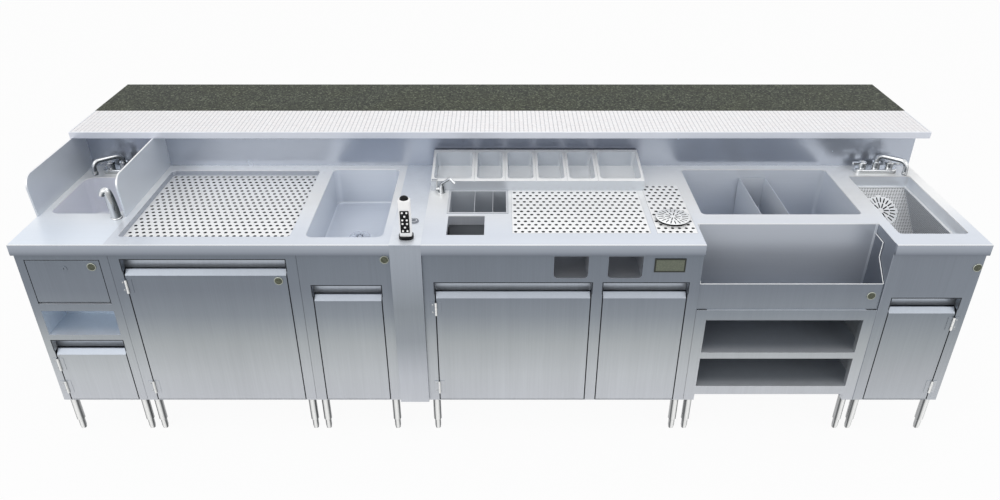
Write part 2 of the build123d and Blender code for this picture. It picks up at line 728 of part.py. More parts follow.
# Drainboard grate: perforated plate with turned-down edges that stand on the pan's floor.
pan_x0, pan_x1, pan_y0, pan_y1 = opening(GLASS_LEFT, DRAINBOARD_WIDTH, DRAIN_PAN)
inset = COVE + SLIP
grate_x0 = pan_x0 + SLIP
grate_x1 = pan_x1 - SLIP
grate_y0 = pan_y0 + SLIP
grate_y1 = pan_y1 - SLIP
grate_top = below(GRATE_SINK)
pan_floor = TOP - DRAIN_PAN["depth"]
grate_plate = perforated(grate_x0, grate_x1, grate_y0, grate_y1, grate_top)
corner_trim = rounded(grate_x0, grate_x1, grate_y0, grate_y1, pan_floor, grate_top, DRAIN_PAN["corner"])
grate_plate = grate_plate & corner_trim
foot_top = grate_top - GRATE
add(
    "drainboard_grate",
    grate_plate,
    block(grate_x0 + inset, grate_x1 - inset, pan_y0 + inset, pan_y0 + inset + GRATE, pan_floor, foot_top),
    block(grate_x0 + inset, grate_x1 - inset, pan_y1 - inset - GRATE, pan_y1 - inset, pan_floor, foot_top),
)

# Cocktail station worktop with its cut-outs.
tool_x0, tool_x1, tool_y0, tool_y1 = box_of(TOOL_WELL)
chute_x0, chute_x1, chute_y0, chute_y1 = box_of(CHUTE)
work_x0, work_x1, work_y0, work_y1 = box_of(WORK_GRATE)
strip_x0, strip_x1, strip_y0, strip_y1 = box_of(RINSER_STRIP)
garnish_x0 = BAR_LEFT + GARNISH_LEFT
garnish_x1 = garnish_x0 + sum(PAN_WIDTHS)
garnish_y1 = REAR - GARNISH_REAR_INSET
garnish_y0 = garnish_y1 - GARNISH_DEPTH
slope = math.degrees(math.atan2(GARNISH_REAR_RISE - GARNISH_FRONT_RISE, GARNISH_DEPTH))
pan_length = GARNISH_DEPTH / math.cos(math.radians(slope))
pan_y = (garnish_y0 + garnish_y1) / 2
pan_half = (pan_length / 2 - PAN_END_LAP) * math.cos(math.radians(slope))
pan_rear = pan_y + pan_half + PAN_DEPTH * math.sin(math.radians(slope))
bar_sheet = deck(BAR_LEFT, COCKTAIL_WIDTH)
for x0, x1, y0, y1 in (
    (tool_x0, tool_x1, tool_y0, tool_y1),
    (chute_x0, chute_x1, chute_y0, chute_y1),
    (work_x0, work_x1, work_y0, work_y1),
    (strip_x0, strip_x1, strip_y0, strip_y1),
    (
        garnish_x0 + PAN_SIDE_LAP / 2, garnish_x1 - PAN_SIDE_LAP / 2,
        garnish_y0 + RAIL_LEDGE, pan_rear + SLIP,
    ),
):
    bar_sheet -= block(x0, x1, y0, y1, UNDER - 1, TOP + 1)
bar_fx = BAR_LEFT + BAR_FAUCET_X
bar_fy = FRONT + BAR_FAUCET_Y
add("cocktail_top", bar_sheet - rod(bar_fx, bar_fy, UNDER - 1, TOP + 1, SHANK_RADIUS + SLIP))


def drip_pan(x0, x1, y0, y1):
    """Shallow pan under a flush grate, with a ledge that carries the grate."""
    floor = UNDER - DRIP_DEPTH
    pan = block(x0 - DRIP_LEDGE, x1 + DRIP_LEDGE, y0 - DRIP_LEDGE, y1 + DRIP_LEDGE, UNDER - SHEET, UNDER)
    pan += block(x0 + DRIP_LEDGE, x1 - DRIP_LEDGE, y0 + DRIP_LEDGE, y1 - DRIP_LEDGE, floor, UNDER - SHEET)
    wall = DRIP_LEDGE + SHEET
    pan -= block(x0 + wall, x1 - wall, y0 + wall, y1 - wall, floor + SHEET, UNDER + 1)
    pan -= rod((x0 + x1) / 2, (y0 + y1) / 2, floor - SHEET, floor + 2 * SHEET, DRAIN_HOLE)
    return pan


for x0, x1, y0, y1 in ((work_x0, work_x1, work_y0, work_y1), (strip_x0, strip_x1, strip_y0, strip_y1)):
    add("cocktail_cabinet", drip_pan(x0, x1, y0, y1))
    drip_floor = UNDER - DRIP_DEPTH + SHEET
    add("sink_drains", Pos((x0 + x1) / 2, (y0 + y1) / 2, drip_floor) * drain_fitting)

add("work_grate", perforated(work_x0 + SLIP, work_x1 - SLIP, work_y0 + SLIP, work_y1 - SLIP, TOP))

# Glass rinser: perforated strip, valve body and the star that a glass presses down.
rinser_x = BAR_LEFT + RINSER_X
rinser_y = FRONT + RINSER_Y
add(
    "rinser_plate",
    perforated(
        strip_x0 + SLIP, strip_x1 - SLIP, strip_y0 + SLIP, strip_y1 - SLIP, TOP,
        first=1, keep_out=(rinser_x, rinser_y, RINSER_CUP + 2 * HOLE_RADIUS),
    ),
)
valve_top = TOP + RINSER_RISE
valve_outline = Polyline(
    (RINSER_STEM + RUNNING, TOP - DRIP_DEPTH / 2),
    (RINSER_CUP - SLIP, TOP - DRIP_DEPTH / 2),
    (RINSER_CUP - SLIP, TOP),
    (RINSER_CUP + STAR, TOP),
    (RINSER_CUP + STAR / 2, valve_top),
    (RINSER_STEM + RUNNING, valve_top),
    close=True,
)
valve = revolve(Plane.XZ * make_face(valve_outline), axis=Axis.Z)
add("rinser_plate", Pos(rinser_x, rinser_y, 0) * valve)
star_z = valve_top + RINSER_LIFT
star_top = star_z + STAR
star = rod(0, 0, TOP - DRIP_DEPTH / 4, star_z, RINSER_STEM) + rod(0, 0, star_z, star_top, STAR_HUB)
star_ring = rod(0, 0, star_z, star_top, RINSER_RADIUS)
star += star_ring - rod(0, 0, star_z - 1, star_top + 1, RINSER_RADIUS - STAR)
star_arm = block(
    STAR_HUB - STAR / 2, RINSER_RADIUS - STAR / 2, -STAR_ARM / 2, STAR_ARM / 2, star_z, star_top,
)
for i in range(RINSER_ARMS):
    star += Rot(Z=360 * i / RINSER_ARMS) * star_arm
add("rinser_star", Pos(rinser_x, rinser_y, 0) * star)

# Waste chute: upright lips round an opening into the compartment below.
chute_z = UNDER - CHUTE_LIP
add(
    "cocktail_cabinet",
    block(chute_x0 - SHEET, chute_x1 + SHEET, chute_y0 - SHEET, chute_y0, chute_z, UNDER),
    block(chute_x0 - SHEET, chute_x1 + SHEET, chute_y1, chute_y1 + SHEET, chute_z, UNDER),
    block(chute_x0 - SHEET, chute_x0, chute_y0, chute_y1, chute_z, UNDER),
    block(chute_x1, chute_x1 + SHEET, chute_y0, chute_y1, chute_z, UNDER),
)

# Tool insert: lift-out tray with three compartments and a rim on the worktop.
tool_floor = TOP - TOOL_DEPTH
insert = block(
    tool_x0 - TOOL_FLANGE, tool_x1 + TOOL_FLANGE, tool_y0 - TOOL_FLANGE, tool_y1 + TOOL_FLANGE,
    TOP, TOP + DECK,
)
insert += block(tool_x0 + SLIP, tool_x1 - SLIP, tool_y0 + SLIP, tool_y1 - SLIP, tool_floor, TOP)
wall = SLIP + SHEET
splits = (0.0,) + TOOL_SPLITS + (tool_x1 - tool_x0,)
for start, stop in zip(splits, splits[1:]):
    from_x = tool_x0 + start + (wall if start == 0 else SHEET / 2)
    to_x = tool_x0 + stop - (wall if stop == splits[-1] else SHEET / 2)
    insert -= block(from_x, to_x, tool_y0 + wall, tool_y1 - wall, tool_floor + SHEET, TOP + DECK + 1)
add("tool_insert", insert)


# Garnish rail: raised sloping housing with a ledge front and rear for the pans.
def rail_z(y):
    """Height of the sloping garnish rail's top at a depth."""
    return TOP + GARNISH_FRONT_RISE + (y - garnish_y0) * math.tan(math.radians(slope))


def slope_strip(y0, y1, z0, z1):
    """Outline between two depths whose top follows the slope, or lies z1 below it."""
    if z0 is None:
        return ((y0, rail_z(y0) - z1), (y1, rail_z(y1) - z1), (y1, rail_z(y1)), (y0, rail_z(y0)))
    return ((y0, z0), (y1, z0), (y1, rail_z(y1)), (y0, rail_z(y0)))


for x in (garnish_x0, garnish_x1 - SHEET):
    add("garnish_rail", prism_x(slope_strip(garnish_y0, garnish_y1, TOP, 0), x, x + SHEET))
rail_in0 = garnish_x0 + SHEET
rail_in1 = garnish_x1 - SHEET
add(
    "garnish_rail",
    prism_x(slope_strip(garnish_y0, garnish_y0 + SHEET, TOP, 0), rail_in0, rail_in1),
    prism_x(slope_strip(garnish_y1 - SHEET, garnish_y1, TOP, 0), rail_in0, rail_in1),
    prism_x(slope_strip(garnish_y0 + SHEET, garnish_y0 + RAIL_LEDGE, None, SHEET), rail_in0, rail_in1),
    prism_x(slope_strip(garnish_y1 - RAIL_LEDGE, garnish_y1 - SHEET, None, SHEET), rail_in0, rail_in1),
)


def garnish_pan(width, length):
    """Tapered pan with a rim, its rim's underside at height zero."""
    side = width - 2 * PAN_SIDE_LAP
    end = length - 2 * PAN_END_LAP
    rim = extrude(RectangleRounded(width - SLIP, length, PAN_RIM_CORNER), amount=PAN_FLANGE)
    body = extrude(RectangleRounded(side, end, PAN_CORNER), amount=-PAN_DEPTH, taper=PAN_TAPER)
    hollow_outline = RectangleRounded(side - 2 * PAN_WALL, end - 2 * PAN_WALL, PAN_CORNER - PAN_WALL)
    hollow = extrude(hollow_outline, amount=-(PAN_DEPTH - PAN_WALL), taper=PAN_TAPER)
    mouth = extrude(hollow_outline, amount=PAN_FLANGE + 1)
    return rim + body - hollow - mouth


pan_left = garnish_x0
for i, width in enumerate(PAN_WIDTHS):
    place = Pos(pan_left + width / 2, pan_y, rail_z(pan_y)) * Rot(X=slope)
    add(f"garnish_pan_{i + 1}", place * garnish_pan(width, pan_length))
    pan_left += width

# Speed rail: open trough for bottles in front of the ice bin.
trough_y0 = FRONT + TROUGH_FRONT
trough_y1 = FRONT + BIN_FRONT
trough_x0, trough_x1 = outer_sides(BIN_LEFT, ICE_BIN_WIDTH)
end_outline = (
    (trough_y1, below(END_TOP)),
    (FRONT + END_STEP_FRONT, below(END_TOP)),
    (FRONT + END_STEP_FRONT, below(END_STEP)),
    (trough_y0, below(TROUGH_LIP)),
    (trough_y0, below(TROUGH_SEAM)),
    (trough_y1, below(TROUGH_SEAM)),
)
trough_in0 = trough_x0 + SHEET
trough_in1 = trough_x1 - SHEET
add(
    "speed_rail_trough",
    prism_x(end_outline, trough_x0, trough_in0),
    prism_x(end_outline, trough_in1, trough_x1),
    block(trough_in0, trough_in1, trough_y0, trough_y0 + SHEET, below(TROUGH_SEAM), below(TROUGH_LIP)),
    block(
        trough_in0, trough_in1, trough_y0 + SHEET, trough_y1,
        below(TROUGH_FLOOR) - SHEET, below(TROUGH_FLOOR),
    ),
)
trough_badge = badge(trough_in1 - BADGE_INSET, TROUGH_BADGE_DROP)
add("speed_rail_trough", Pos(0, trough_y0 - FACE, 0) * trough_badge)

# Ice dividers: two plates that stand in the ice bin.
bin_x0, bin_x1, bin_y0, bin_y1 = opening(BIN_LEFT, ICE_BIN_WIDTH, ICE_BIN)
divider_foot = TOP - ICE_BIN["depth"]
for offset in DIVIDERS:
    x = BIN_LEFT + offset
    add(
        "ice_dividers",
        block(
            x - DIVIDER / 2, x + DIVIDER / 2, bin_y0 + SLIP + COVE, bin_y1 - SLIP - COVE,
            divider_foot, divider_foot + DIVIDER_DEPTH,
        ),
    )
spacer_x0 = BIN_LEFT + DIVIDERS[0] + DIVIDER / 2
spacer_x1 = BIN_LEFT + DIVIDERS[1] - DIVIDER / 2
divider_top = divider_foot + DIVIDER_DEPTH
for y in (bin_y0 + SLIP + COVE, bin_y1 - SLIP - COVE - DIVIDER):
    spacer_z = divider_top - SPACER_HEIGHT
    add("ice_dividers", block(spacer_x0, spacer_x1, y, y + DIVIDER, spacer_z, divider_top))

# Dump basket: plates that make a box with a sloping rear, hung on the sink's ledge.
basket_x0 = dump_bx0 + SLIP
basket_x1 = dump_bx1 - SLIP
basket_y0 = dump_by0 + SLIP
basket_y1 = dump_by1 - SLIP
rim_top = below(BASKET_DROP)
rim_z = rim_top - SHEET
body_x0 = basket_x0 + BASKET_LEDGE + SLIP
body_x1 = basket_x1 - BASKET_LEDGE - SLIP
body_y0 = basket_y0 + BASKET_LEDGE
body_y1 = basket_y1 - BASKET_LEDGE
basket_z = below(BASKET_FLOOR)
slope_run = (rim_z - basket_z) / math.tan(math.radians(BASKET_SLOPE))
knee = body_y1 - slope_run
rim = rounded(basket_x0, basket_x1, basket_y0, basket_y1, rim_z, rim_top, DUMP_BOWL["corner"])
for rim_y0, rim_y1 in ((basket_y0, body_y0), (body_y1, basket_y1)):
    add("dump_basket", rim & block(basket_x0, basket_x1, rim_y0, rim_y1, rim_z, rim_top))
for rim_x0, rim_x1 in ((basket_x0, body_x0), (body_x1, basket_x1)):
    add("dump_basket", block(rim_x0, rim_x1, body_y0, body_y1, rim_z, rim_top))
side_outline = ((body_y0, rim_z), (body_y0, basket_z), (knee, basket_z), (body_y1, rim_z))
skin = SHEET / math.sin(math.radians(BASKET_SLOPE))
slope_plate = prism_x(
    ((knee, basket_z), (body_y1, rim_z), (body_y1 - skin, rim_z), (knee - skin, basket_z)),
    body_x0 + SHEET, body_x1 - SHEET,
)
rosette_centre = Pos((body_x0 + body_x1) / 2, (knee + body_y1) / 2, (basket_z + rim_z) / 2)
rosette_centre = rosette_centre * Rot(X=BASKET_SLOPE)
for slot_count, slot_middle, slot_length in ROSETTE_RINGS:
    slot = Pos(slot_middle, 0, 0) * Box(slot_length, ROSETTE_SLOT_WIDTH, ROSETTE_DEPTH)
    for i in range(slot_count):
        slope_plate -= rosette_centre * Rot(Z=360 * i / slot_count) * slot
add(
    "dump_basket",
    slope_plate,
    prism_x(side_outline, body_x0, body_x0 + SHEET),
    prism_x(side_outline, body_x1 - SHEET, body_x1),
    block(body_x0 + SHEET, body_x1 - SHEET, body_y0, body_y0 + SHEET, basket_z, rim_z),
    block(body_x0 + SHEET, body_x1 - SHEET, body_y0 + SHEET, knee - skin, basket_z, basket_z + SHEET),
)

# Backsplash and splash guards.
add("backsplash", block(LEFT, RIGHT, REAR, REAR + SHEET, TOP, BAR_UNDER))
guard_outline = Polyline(
    (0, FRONT + GUARD_FOOT, TOP),
    (0, FRONT + GUARD_NOSE, BAR_UNDER),
    (0, REAR, BAR_UNDER),
    (0, REAR, TOP),
    close=True,
)
guard = extrude(make_face(guard_outline), amount=GUARD, dir=(1, 0, 0))
guard = fillet(guard.edges().filter_by(Axis.X).sort_by(Axis.Y)[0], GUARD_CORNER)
for x in (HAND_LEFT, GLASS_LEFT - GUARD):
    add("splash_guards", Pos(x, 0, 0) * guard)

# Bar top: steel tray with a nosing, tiled drink rail, stone counter, posts with arms.
bar_y0 = FRONT + BAR_FRONT
bar_y1 = bar_y0 + BAR_DEPTH
bar_top = TOP + BAR_RISE
tile_y1 = bar_y0 + TILE_DEPTH
tray = block(LEFT, RIGHT, bar_y0, bar_y1, BAR_UNDER, BAR_UNDER + TRAY)
tray += block(LEFT, RIGHT, bar_y0, bar_y0 + NOSING, BAR_UNDER, bar_top)
tray += block(LEFT, LEFT + NOSING, bar_y0, tile_y1, BAR_UNDER, bar_top)
tray += block(RIGHT - NOSING, RIGHT, bar_y0, tile_y1, BAR_UNDER, bar_top)
tray = fillet(tray.edges().filter_by(Axis.X).group_by(Axis.Y)[0], TRAY_ROUND)
add("bar_top_tray", tray)
add(
    "tile_rail",
    block(LEFT + NOSING, RIGHT - NOSING, bar_y0 + NOSING, tile_y1, BAR_UNDER + TRAY, bar_top),
)
stone = block(LEFT, RIGHT, tile_y1, bar_y1, BAR_UNDER + TRAY, bar_top)
add("stone_counter", fillet(stone.edges().group_by(Axis.Y)[-1].group_by(Axis.Z)[-1], STONE_ROUND))
post_y0 = REAR + POST_GAP
arm_tip_y = bar_y1 - ARM_SETBACK
for i in range(POST_COUNT):
    x = LEFT + POST_END_INSET + i * (LENGTH - 2 * POST_END_INSET) / (POST_COUNT - 1)
    arm_top = BAR_UNDER
    arm_outline = (
        (post_y0, arm_top),
        (post_y0, arm_top - ARM_DEPTH),
        (arm_tip_y, arm_top - ARM_TIP),
        (arm_tip_y, arm_top),
    )
    post = tube_z(
        x - POST / 2, x + POST / 2, post_y0, post_y0 + POST, PLATE_THICK, arm_top - ARM_DEPTH, POST_WALL
    )
    plate = block(
        x - PLATE_SIZE / 2, x + PLATE_SIZE / 2,
        post_y0 + POST / 2 - PLATE_SIZE / 2, post_y0 + POST / 2 + PLATE_SIZE / 2, 0, PLATE_THICK,
    )
    half = PLATE_HOLE_SPACING / 2
    for hole_x in (x - half, x + half):
        for hole_y in (post_y0 + POST / 2 - half, post_y0 + POST / 2 + half):
            plate -= rod(hole_x, hole_y, -1, PLATE_THICK + 1, PLATE_HOLE_RADIUS)
    add("bar_top_posts", post, plate, prism_x(arm_outline, x - POST / 2, x + POST / 2))


def door_panel(x0, x1, opening_top, floor):
    """Hollow door or drawer front with a bevelled finger pull along its top, and its inner skin."""
    z0 = floor
    face_top = below(opening_top + PULL_DROP)
    lip_top = face_top + PULL_LIP
    outline = (
        (FACE, z0), (FACE, face_top), (FACE + PULL_LIP, lip_top), (FACE + DOOR, lip_top), (FACE + DOOR, z0)
    )
    bend = SHEET * math.tan(math.radians(22.5))
    hollow = (
        (FACE + SHEET, z0 + SHEET), (FACE + SHEET, face_top - bend),
        (FACE + PULL_LIP + bend, lip_top - SHEET), (FACE + DOOR + 1, lip_top - SHEET),
        (FACE + DOOR + 1, z0 + SHEET),
    )
    shell = prism_x(outline, x0, x1) - prism_x(hollow, x0 + SHEET, x1 - SHEET)
    skin = block(x0 + SHEET, x1 - SHEET, FACE + DOOR - SHEET, FACE + DOOR, z0 + SHEET, lip_top - SHEET)
    return shell, skin


def hinge_half(x, z0, side, on_door):
    """Half of a barrel hinge on a front face: the frame half carries the pin, side +1 lies towards +X."""
    y = FACE - BARREL_STANDOFF
    third = HINGE_LENGTH / 3
    z1 = z0 + HINGE_LENGTH
    spans = ((z0 + third, z0 + 2 * third),)
    if not on_door:
        spans = ((z0, z0 + third - KNUCKLE_GAP), (z0 + 2 * third + KNUCKLE_GAP, z1))
    stand_clear = BARREL_RADIUS + SLIP
    ends = sorted((x + side * stand_clear, x + side * (stand_clear + LEAF_WIDTH)))
    half = block(ends[0], ends[1], FACE - LEAF, FACE, z0, z1)
    for low, high in spans:
        tab = sorted((x, x + side * stand_clear))
        half += block(tab[0], tab[1], FACE - LEAF, FACE - LEAF + HINGE_TAB, low, high)
        half += rod(x, y, low, high, BARREL_RADIUS)
    if on_door:
        return half - rod(x, y, z0, z1, HINGE_PIN_RADIUS + RUNNING)
    return half + rod(x, y, z0, z1, HINGE_PIN_RADIUS)


door_floor = FLOOR + SHEET + GAP
for node, x0, x1, opening_top, hinge_side in (
    ("waste_door", hand_x0, hand_x1, WASTE_DOOR_TOP, "left"),
    ("glass_door", glass_x0, glass_x1, GLASS_DOOR_TOP, "left"),
    ("cocktail_door", bar_x0, door_x1, COCKTAIL_TOP_DROP, "left"),
    ("dump_door", dump_x0, dump_x1, DUMP_DOOR_TOP, "right"),
):
    add(node, *door_panel(x0 + GAP, x1 - GAP, opening_top, door_floor))
    axis_x = x0 + GAP / 2 if hinge_side == "left" else x1 - GAP / 2
    door_way = 1 if hinge_side == "left" else -1
    upper = below(opening_top + PULL_DROP) - HINGE_BELOW_PULL - HINGE_LENGTH
    for z in (FLOOR + HINGE_ABOVE_FLOOR, upper):
        add(node, hinge_half(axis_x, z, door_way, True))
        add("hinge_leaves", hinge_half(axis_x, z, -door_way, False))
add("glass_door", badge(glass_x1 - BADGE_INSET, GLASS_BADGE_DROP))

# Towel door: drops forward about two pivot pins at its rounded lower edge, with a lock at the top.
towel_z0 = below(TOWEL_DOOR_BOTTOM) + GAP
towel_z1 = below(TOWEL_DOOR_TOP) - GAP
towel_pivot_y = FACE + DOOR / 2
towel_pivot_z = towel_z0 + DOOR / 2
towel_x0 = hand_x0 + GAP
towel_x1 = hand_x1 - GAP
towel = block(towel_x0, towel_x1, FACE, FACE + DOOR, towel_z0, towel_z1)
towel = fillet(towel.edges().filter_by(Axis.X).group_by(Axis.Z)[0], TOWEL_ROUND)
towel -= block(
    towel_x0 + SHEET, towel_x1 - SHEET, FACE + SHEET, FACE + DOOR + 1, towel_z0 + DOOR, towel_z1 - SHEET
)
pivot_bore = Rot(Y=90) * Cylinder(PIVOT_RADIUS + RUNNING, 2 * PIVOT_LENGTH)
pivot_pin = Rot(Y=90) * Cylinder(PIVOT_RADIUS, PIVOT_LENGTH)
for x, way in ((hand_x0, 1), (hand_x1, -1)):
    towel -= Pos(x, towel_pivot_y, towel_pivot_z) * pivot_bore
    add("hinge_leaves", Pos(x + way * PIVOT_LENGTH / 2, towel_pivot_y, towel_pivot_z) * pivot_pin)
lock_x = (hand_x0 + hand_x1) / 2
lock_z = below(TOWEL_DOOR_TOP + LOCK_DROP)
lock_axis = Pos(lock_x, FACE, lock_z) * Rot(X=90)
lock_bore = lock_axis * Cylinder(LOCK_RADIUS + RUNNING, 4 * DOOR)
towel_skin = block(
    towel_x0 + SHEET, towel_x1 - SHEET, FACE + DOOR - SHEET, FACE + DOOR, towel_z0 + DOOR, towel_z1 - SHEET
)
add("towel_door", towel - lock_bore, towel_skin - lock_bore, badge(hand_x1 - BADGE_INSET, TOWEL_BADGE_DROP))
cam_y = FACE + DOOR + SLIP
lock = lock_axis * Pos(0, 0, -DOOR / 2 - SLIP / 2) * Cylinder(LOCK_RADIUS, DOOR + SLIP)
lock += lock_axis * Pos(0, 0, LEAF / 2) * Cylinder(LOCK_COLLAR, LEAF)
lock -= block(
    lock_x - KEYWAY / 2, lock_x + KEYWAY / 2, FACE - 2 * LEAF, FACE + LEAF,
    lock_z - 2 * KEYWAY, lock_z + 2 * KEYWAY,
)
lock += block(
    lock_x - LOCK_CAM_WIDTH / 2, lock_x + LOCK_CAM, cam_y, cam_y + LOCK_CAM_THICK,
    lock_z - LOCK_CAM_WIDTH / 2, lock_z + LOCK_CAM_WIDTH / 2,
)
add("towel_lock", lock)


def drawer(node, x0, x1, opening_top, wall0, wall1):
    """Drawer front, open box and side rails, with runner plates from the walls beside it."""
    add(node, *door_panel(x0 + GAP, x1 - GAP, opening_top, door_floor))
    box_x0 = x0 + RAIL_WIDTH + GAP
    box_x1 = x1 - RAIL_WIDTH - GAP
    y0 = FACE + DOOR
    y1 = y0 + DRAWER_DEPTH
    z0 = FLOOR + SHEET + DRAWER_FLOOR_RISE
    z1 = z0 + DRAWER_BOX_HEIGHT
    add(
        node,
        block(box_x0, box_x1, y0, y1, z0, z0 + SHEET),
        block(box_x0, box_x0 + SHEET, y0, y1, z0 + SHEET, z1),
        block(box_x1 - SHEET, box_x1, y0, y1, z0 + SHEET, z1),
        block(box_x0 + SHEET, box_x1 - SHEET, y1 - SHEET, y1, z0 + SHEET, z1),
    )
    rail_z0 = z0 + RAIL_RISE
    rail_z1 = rail_z0 + RAIL_HEIGHT
    for rail_x0, rail_x1, wall in (
        (box_x0 - RAIL_WIDTH, box_x0, wall0),
        (box_x1, box_x1 + RAIL_WIDTH, wall1),
    ):
        add(node, block(rail_x0, rail_x1, y0 + FRAME_DEPTH, y1, rail_z0, rail_z1))
        near, far = sorted((wall, rail_x1 - SLIP if wall < rail_x0 else rail_x0 + SLIP))
        add(
            "drawer_runners",
            block(near, far, y0 + FRAME_DEPTH, y1, rail_z0 - RUNNER, rail_z0),
            block(near, far, y0 + FRAME_DEPTH, y1, rail_z1 + SLIP, rail_z1 + SLIP + RUNNER),
        )


drawer("bottle_drawer", bottle_x0, bottle_x1, BOTTLE_DRAWER_TOP, *inner_sides(ICE_LEFT, ICE_WELL_WIDTH))
drawer("cocktail_drawer", drawer_x0, bar_x1, COCKTAIL_TOP_DROP, partition + SHEET, bar_inner1)


def faucet(prefix, x, turn):
    """Two-handle faucet: body with shanks, swivel spout turned to one side, two levers."""
    y = REAR - FAUCET_REAR_INSET
    post_top = TOP + FAUCET_BASE + FAUCET_POST
    spout_top = TOP + FAUCET_BASE + SPOUT_RISE
    base = Pos(x, y, TOP) * extrude(SlotOverall(FAUCET_LENGTH, FAUCET_WIDTH), amount=FAUCET_BASE)
    base = fillet(base.edges().group_by(Axis.Z)[-1], FAUCET_ROUND)
    base += rod(x, y, TOP, post_top, HANDLE_RADIUS + POST_STEP)
    for side in (-1, 1):
        handle_x = x + side * FAUCET_CENTRES / 2
        base += rod(handle_x, y, TOP, post_top, HANDLE_RADIUS - POST_STEP)
        base += rod(handle_x, y, TOP - SHANK_LENGTH, TOP, SHANK_RADIUS)
    add("faucet_bodies", base)
    path = FilletPolyline(
        (0, 0, post_top + HANDLE_HEIGHT / 2),
        (0, 0, spout_top),
        (0, -SPOUT_REACH, spout_top),
        (0, -SPOUT_REACH, spout_top - SPOUT_BEND - SPOUT_DROP),
        radius=SPOUT_BEND,
    )
    spout = sweep(Plane((0, 0, post_top + HANDLE_HEIGHT / 2)) * Circle(SPOUT_RADIUS), path=path)
    spout += rod(0, 0, post_top, post_top + HANDLE_HEIGHT, HANDLE_RADIUS)
    add(f"{prefix}_spout", Pos(x, y, 0) * Rot(Z=turn) * spout)
    for side, name in ((-1, "hot_lever"), (1, "cold_lever")):
        handle_x = x + side * FAUCET_CENTRES / 2
        lever = rod(0, 0, post_top, post_top + HANDLE_HEIGHT, HANDLE_RADIUS)
        lever = fillet(lever.edges().group_by(Axis.Z)[-1], HANDLE_ROUND)
        grip = Pos(side * LEVER_LENGTH / 2, 0, post_top + HANDLE_HEIGHT / 2)
        lever += grip * extrude(SlotOverall(LEVER_LENGTH, LEVER_WIDTH), amount=LEVER_THICK / 2, both=True)
        add(f"{prefix}_{name}", Pos(handle_x, y, 0) * lever)


faucet("hand_faucet", HAND_LEFT + HAND_SINK_WIDTH / 2, HAND_SPOUT_TURN)
faucet("dump_faucet", DUMP_LEFT + DUMP_SINK_WIDTH / 2, DUMP_SPOUT_TURN)

# Small bar faucet beside the garnish rail.
bar_post = TOP + BAR_FAUCET_POST
valve_z = TOP + BAR_VALVE_RISE
valve_end = bar_fx - BAR_VALVE_REACH
bar_body = rod(bar_fx, bar_fy, TOP, TOP + BAR_FLANGE_THICK, BAR_FAUCET_FLANGE)
bar_body += rod(bar_fx, bar_fy, TOP, bar_post, BAR_FAUCET_RADIUS)
valve_stub = Rot(Y=90) * Cylinder(BAR_VALVE_RADIUS, BAR_VALVE_REACH)
bar_body += Pos((bar_fx + valve_end) / 2, bar_fy, valve_z) * valve_stub
bar_body += rod(bar_fx, bar_fy, TOP - SHANK_LENGTH, TOP, SHANK_RADIUS)
add("faucet_bodies", bar_body)
spout_root = bar_post + BAR_COLLAR / 2
bar_path = FilletPolyline(
    (0, 0, spout_root),
    (0, 0, TOP + BAR_SPOUT_FOOT),
    (0, -BAR_SPOUT_PEAK, TOP + BAR_SPOUT_RISE),
    (0, -BAR_SPOUT_REACH, TOP + BAR_SPOUT_RISE - BAR_SPOUT_DROP),
    radius=BAR_SPOUT_BEND,
)
bar_spout = sweep(Plane((0, 0, spout_root)) * Circle(BAR_SPOUT_RADIUS), path=bar_path)
bar_spout += rod(0, 0, bar_post, bar_post + BAR_COLLAR, BAR_COLLAR_RADIUS)
add("bar_faucet_spout", Pos(bar_fx, bar_fy, 0) * Rot(Z=BAR_SPOUT_TURN) * bar_spout)
lever_x = valve_end - BAR_COLLAR / 2
bar_lever = Pos(lever_x, bar_fy, valve_z) * Rot(Y=90) * Cylinder(BAR_VALVE_RADIUS, BAR_COLLAR)
bar_lever += block(
    lever_x - BAR_LEVER_THICK / 2, lever_x + BAR_LEVER_THICK / 2,
    bar_fy - BAR_LEVER_WIDTH / 2, bar_fy + BAR_LEVER_WIDTH / 2, valve_z, valve_z + BAR_LEVER_HEIGHT,
)
bar_lever += block(
    lever_x - BAR_PADDLE, lever_x + BAR_LEVER_THICK / 2,
    bar_fy - BAR_LEVER_WIDTH / 2, bar_fy + BAR_LEVER_WIDTH / 2,
    valve_z + BAR_LEVER_HEIGHT - BAR_LEVER_THICK, valve_z + BAR_LEVER_HEIGHT,
)
add("bar_faucet_lever", bar_lever)

# Soap dispenser at the hand sink's front right corner.
soap_x = GLASS_LEFT - SOAP_SIDE_INSET
soap_y = FRONT + SOAP_Y
soap = rod(0, 0, TOP, TOP + SOAP_FOOT, SOAP_RADIUS)
soap_path = FilletPolyline(
    (0, 0, TOP),
    (-SOAP_LEAN, 0, TOP + SOAP_PEAK),
    (-SOAP_REACH, -SOAP_FORWARD, TOP + SOAP_TIP),
    radius=SOAP_BEND,
)
soap_start = Plane((0, 0, TOP), z_dir=(-SOAP_LEAN, 0, SOAP_PEAK))
soap_tube = sweep(soap_start * Circle(SOAP_TUBE), path=soap_path)
soap += soap_tube & block(-SOAP_PEAK, SOAP_PEAK, -SOAP_PEAK, SOAP_PEAK, TOP, TOP + 2 * SOAP_PEAK)
add("soap_dispenser", Pos(soap_x, soap_y, 0) * soap)

# Soda gun standing in its holder, and the hose grommet behind it.
gun_x = COLUMN_LEFT + GUN_X
gun_y = FRONT + GUN_Y
gun_z0 = TOP + GUN_SEAT
gun_z1 = gun_z0 + GUN_HEIGHT


def gun_block(grow, z0, z1):
    """Rounded upright block about the gun's centre line, larger than the gun by grow."""
    return rounded(
        gun_x - GUN_WIDTH / 2 - grow, gun_x + GUN_WIDTH / 2 + grow,
        gun_y - GUN_DEPTH / 2 - grow, gun_y + GUN_DEPTH / 2 + grow, z0, z1, GUN_CORNER + grow,
    )


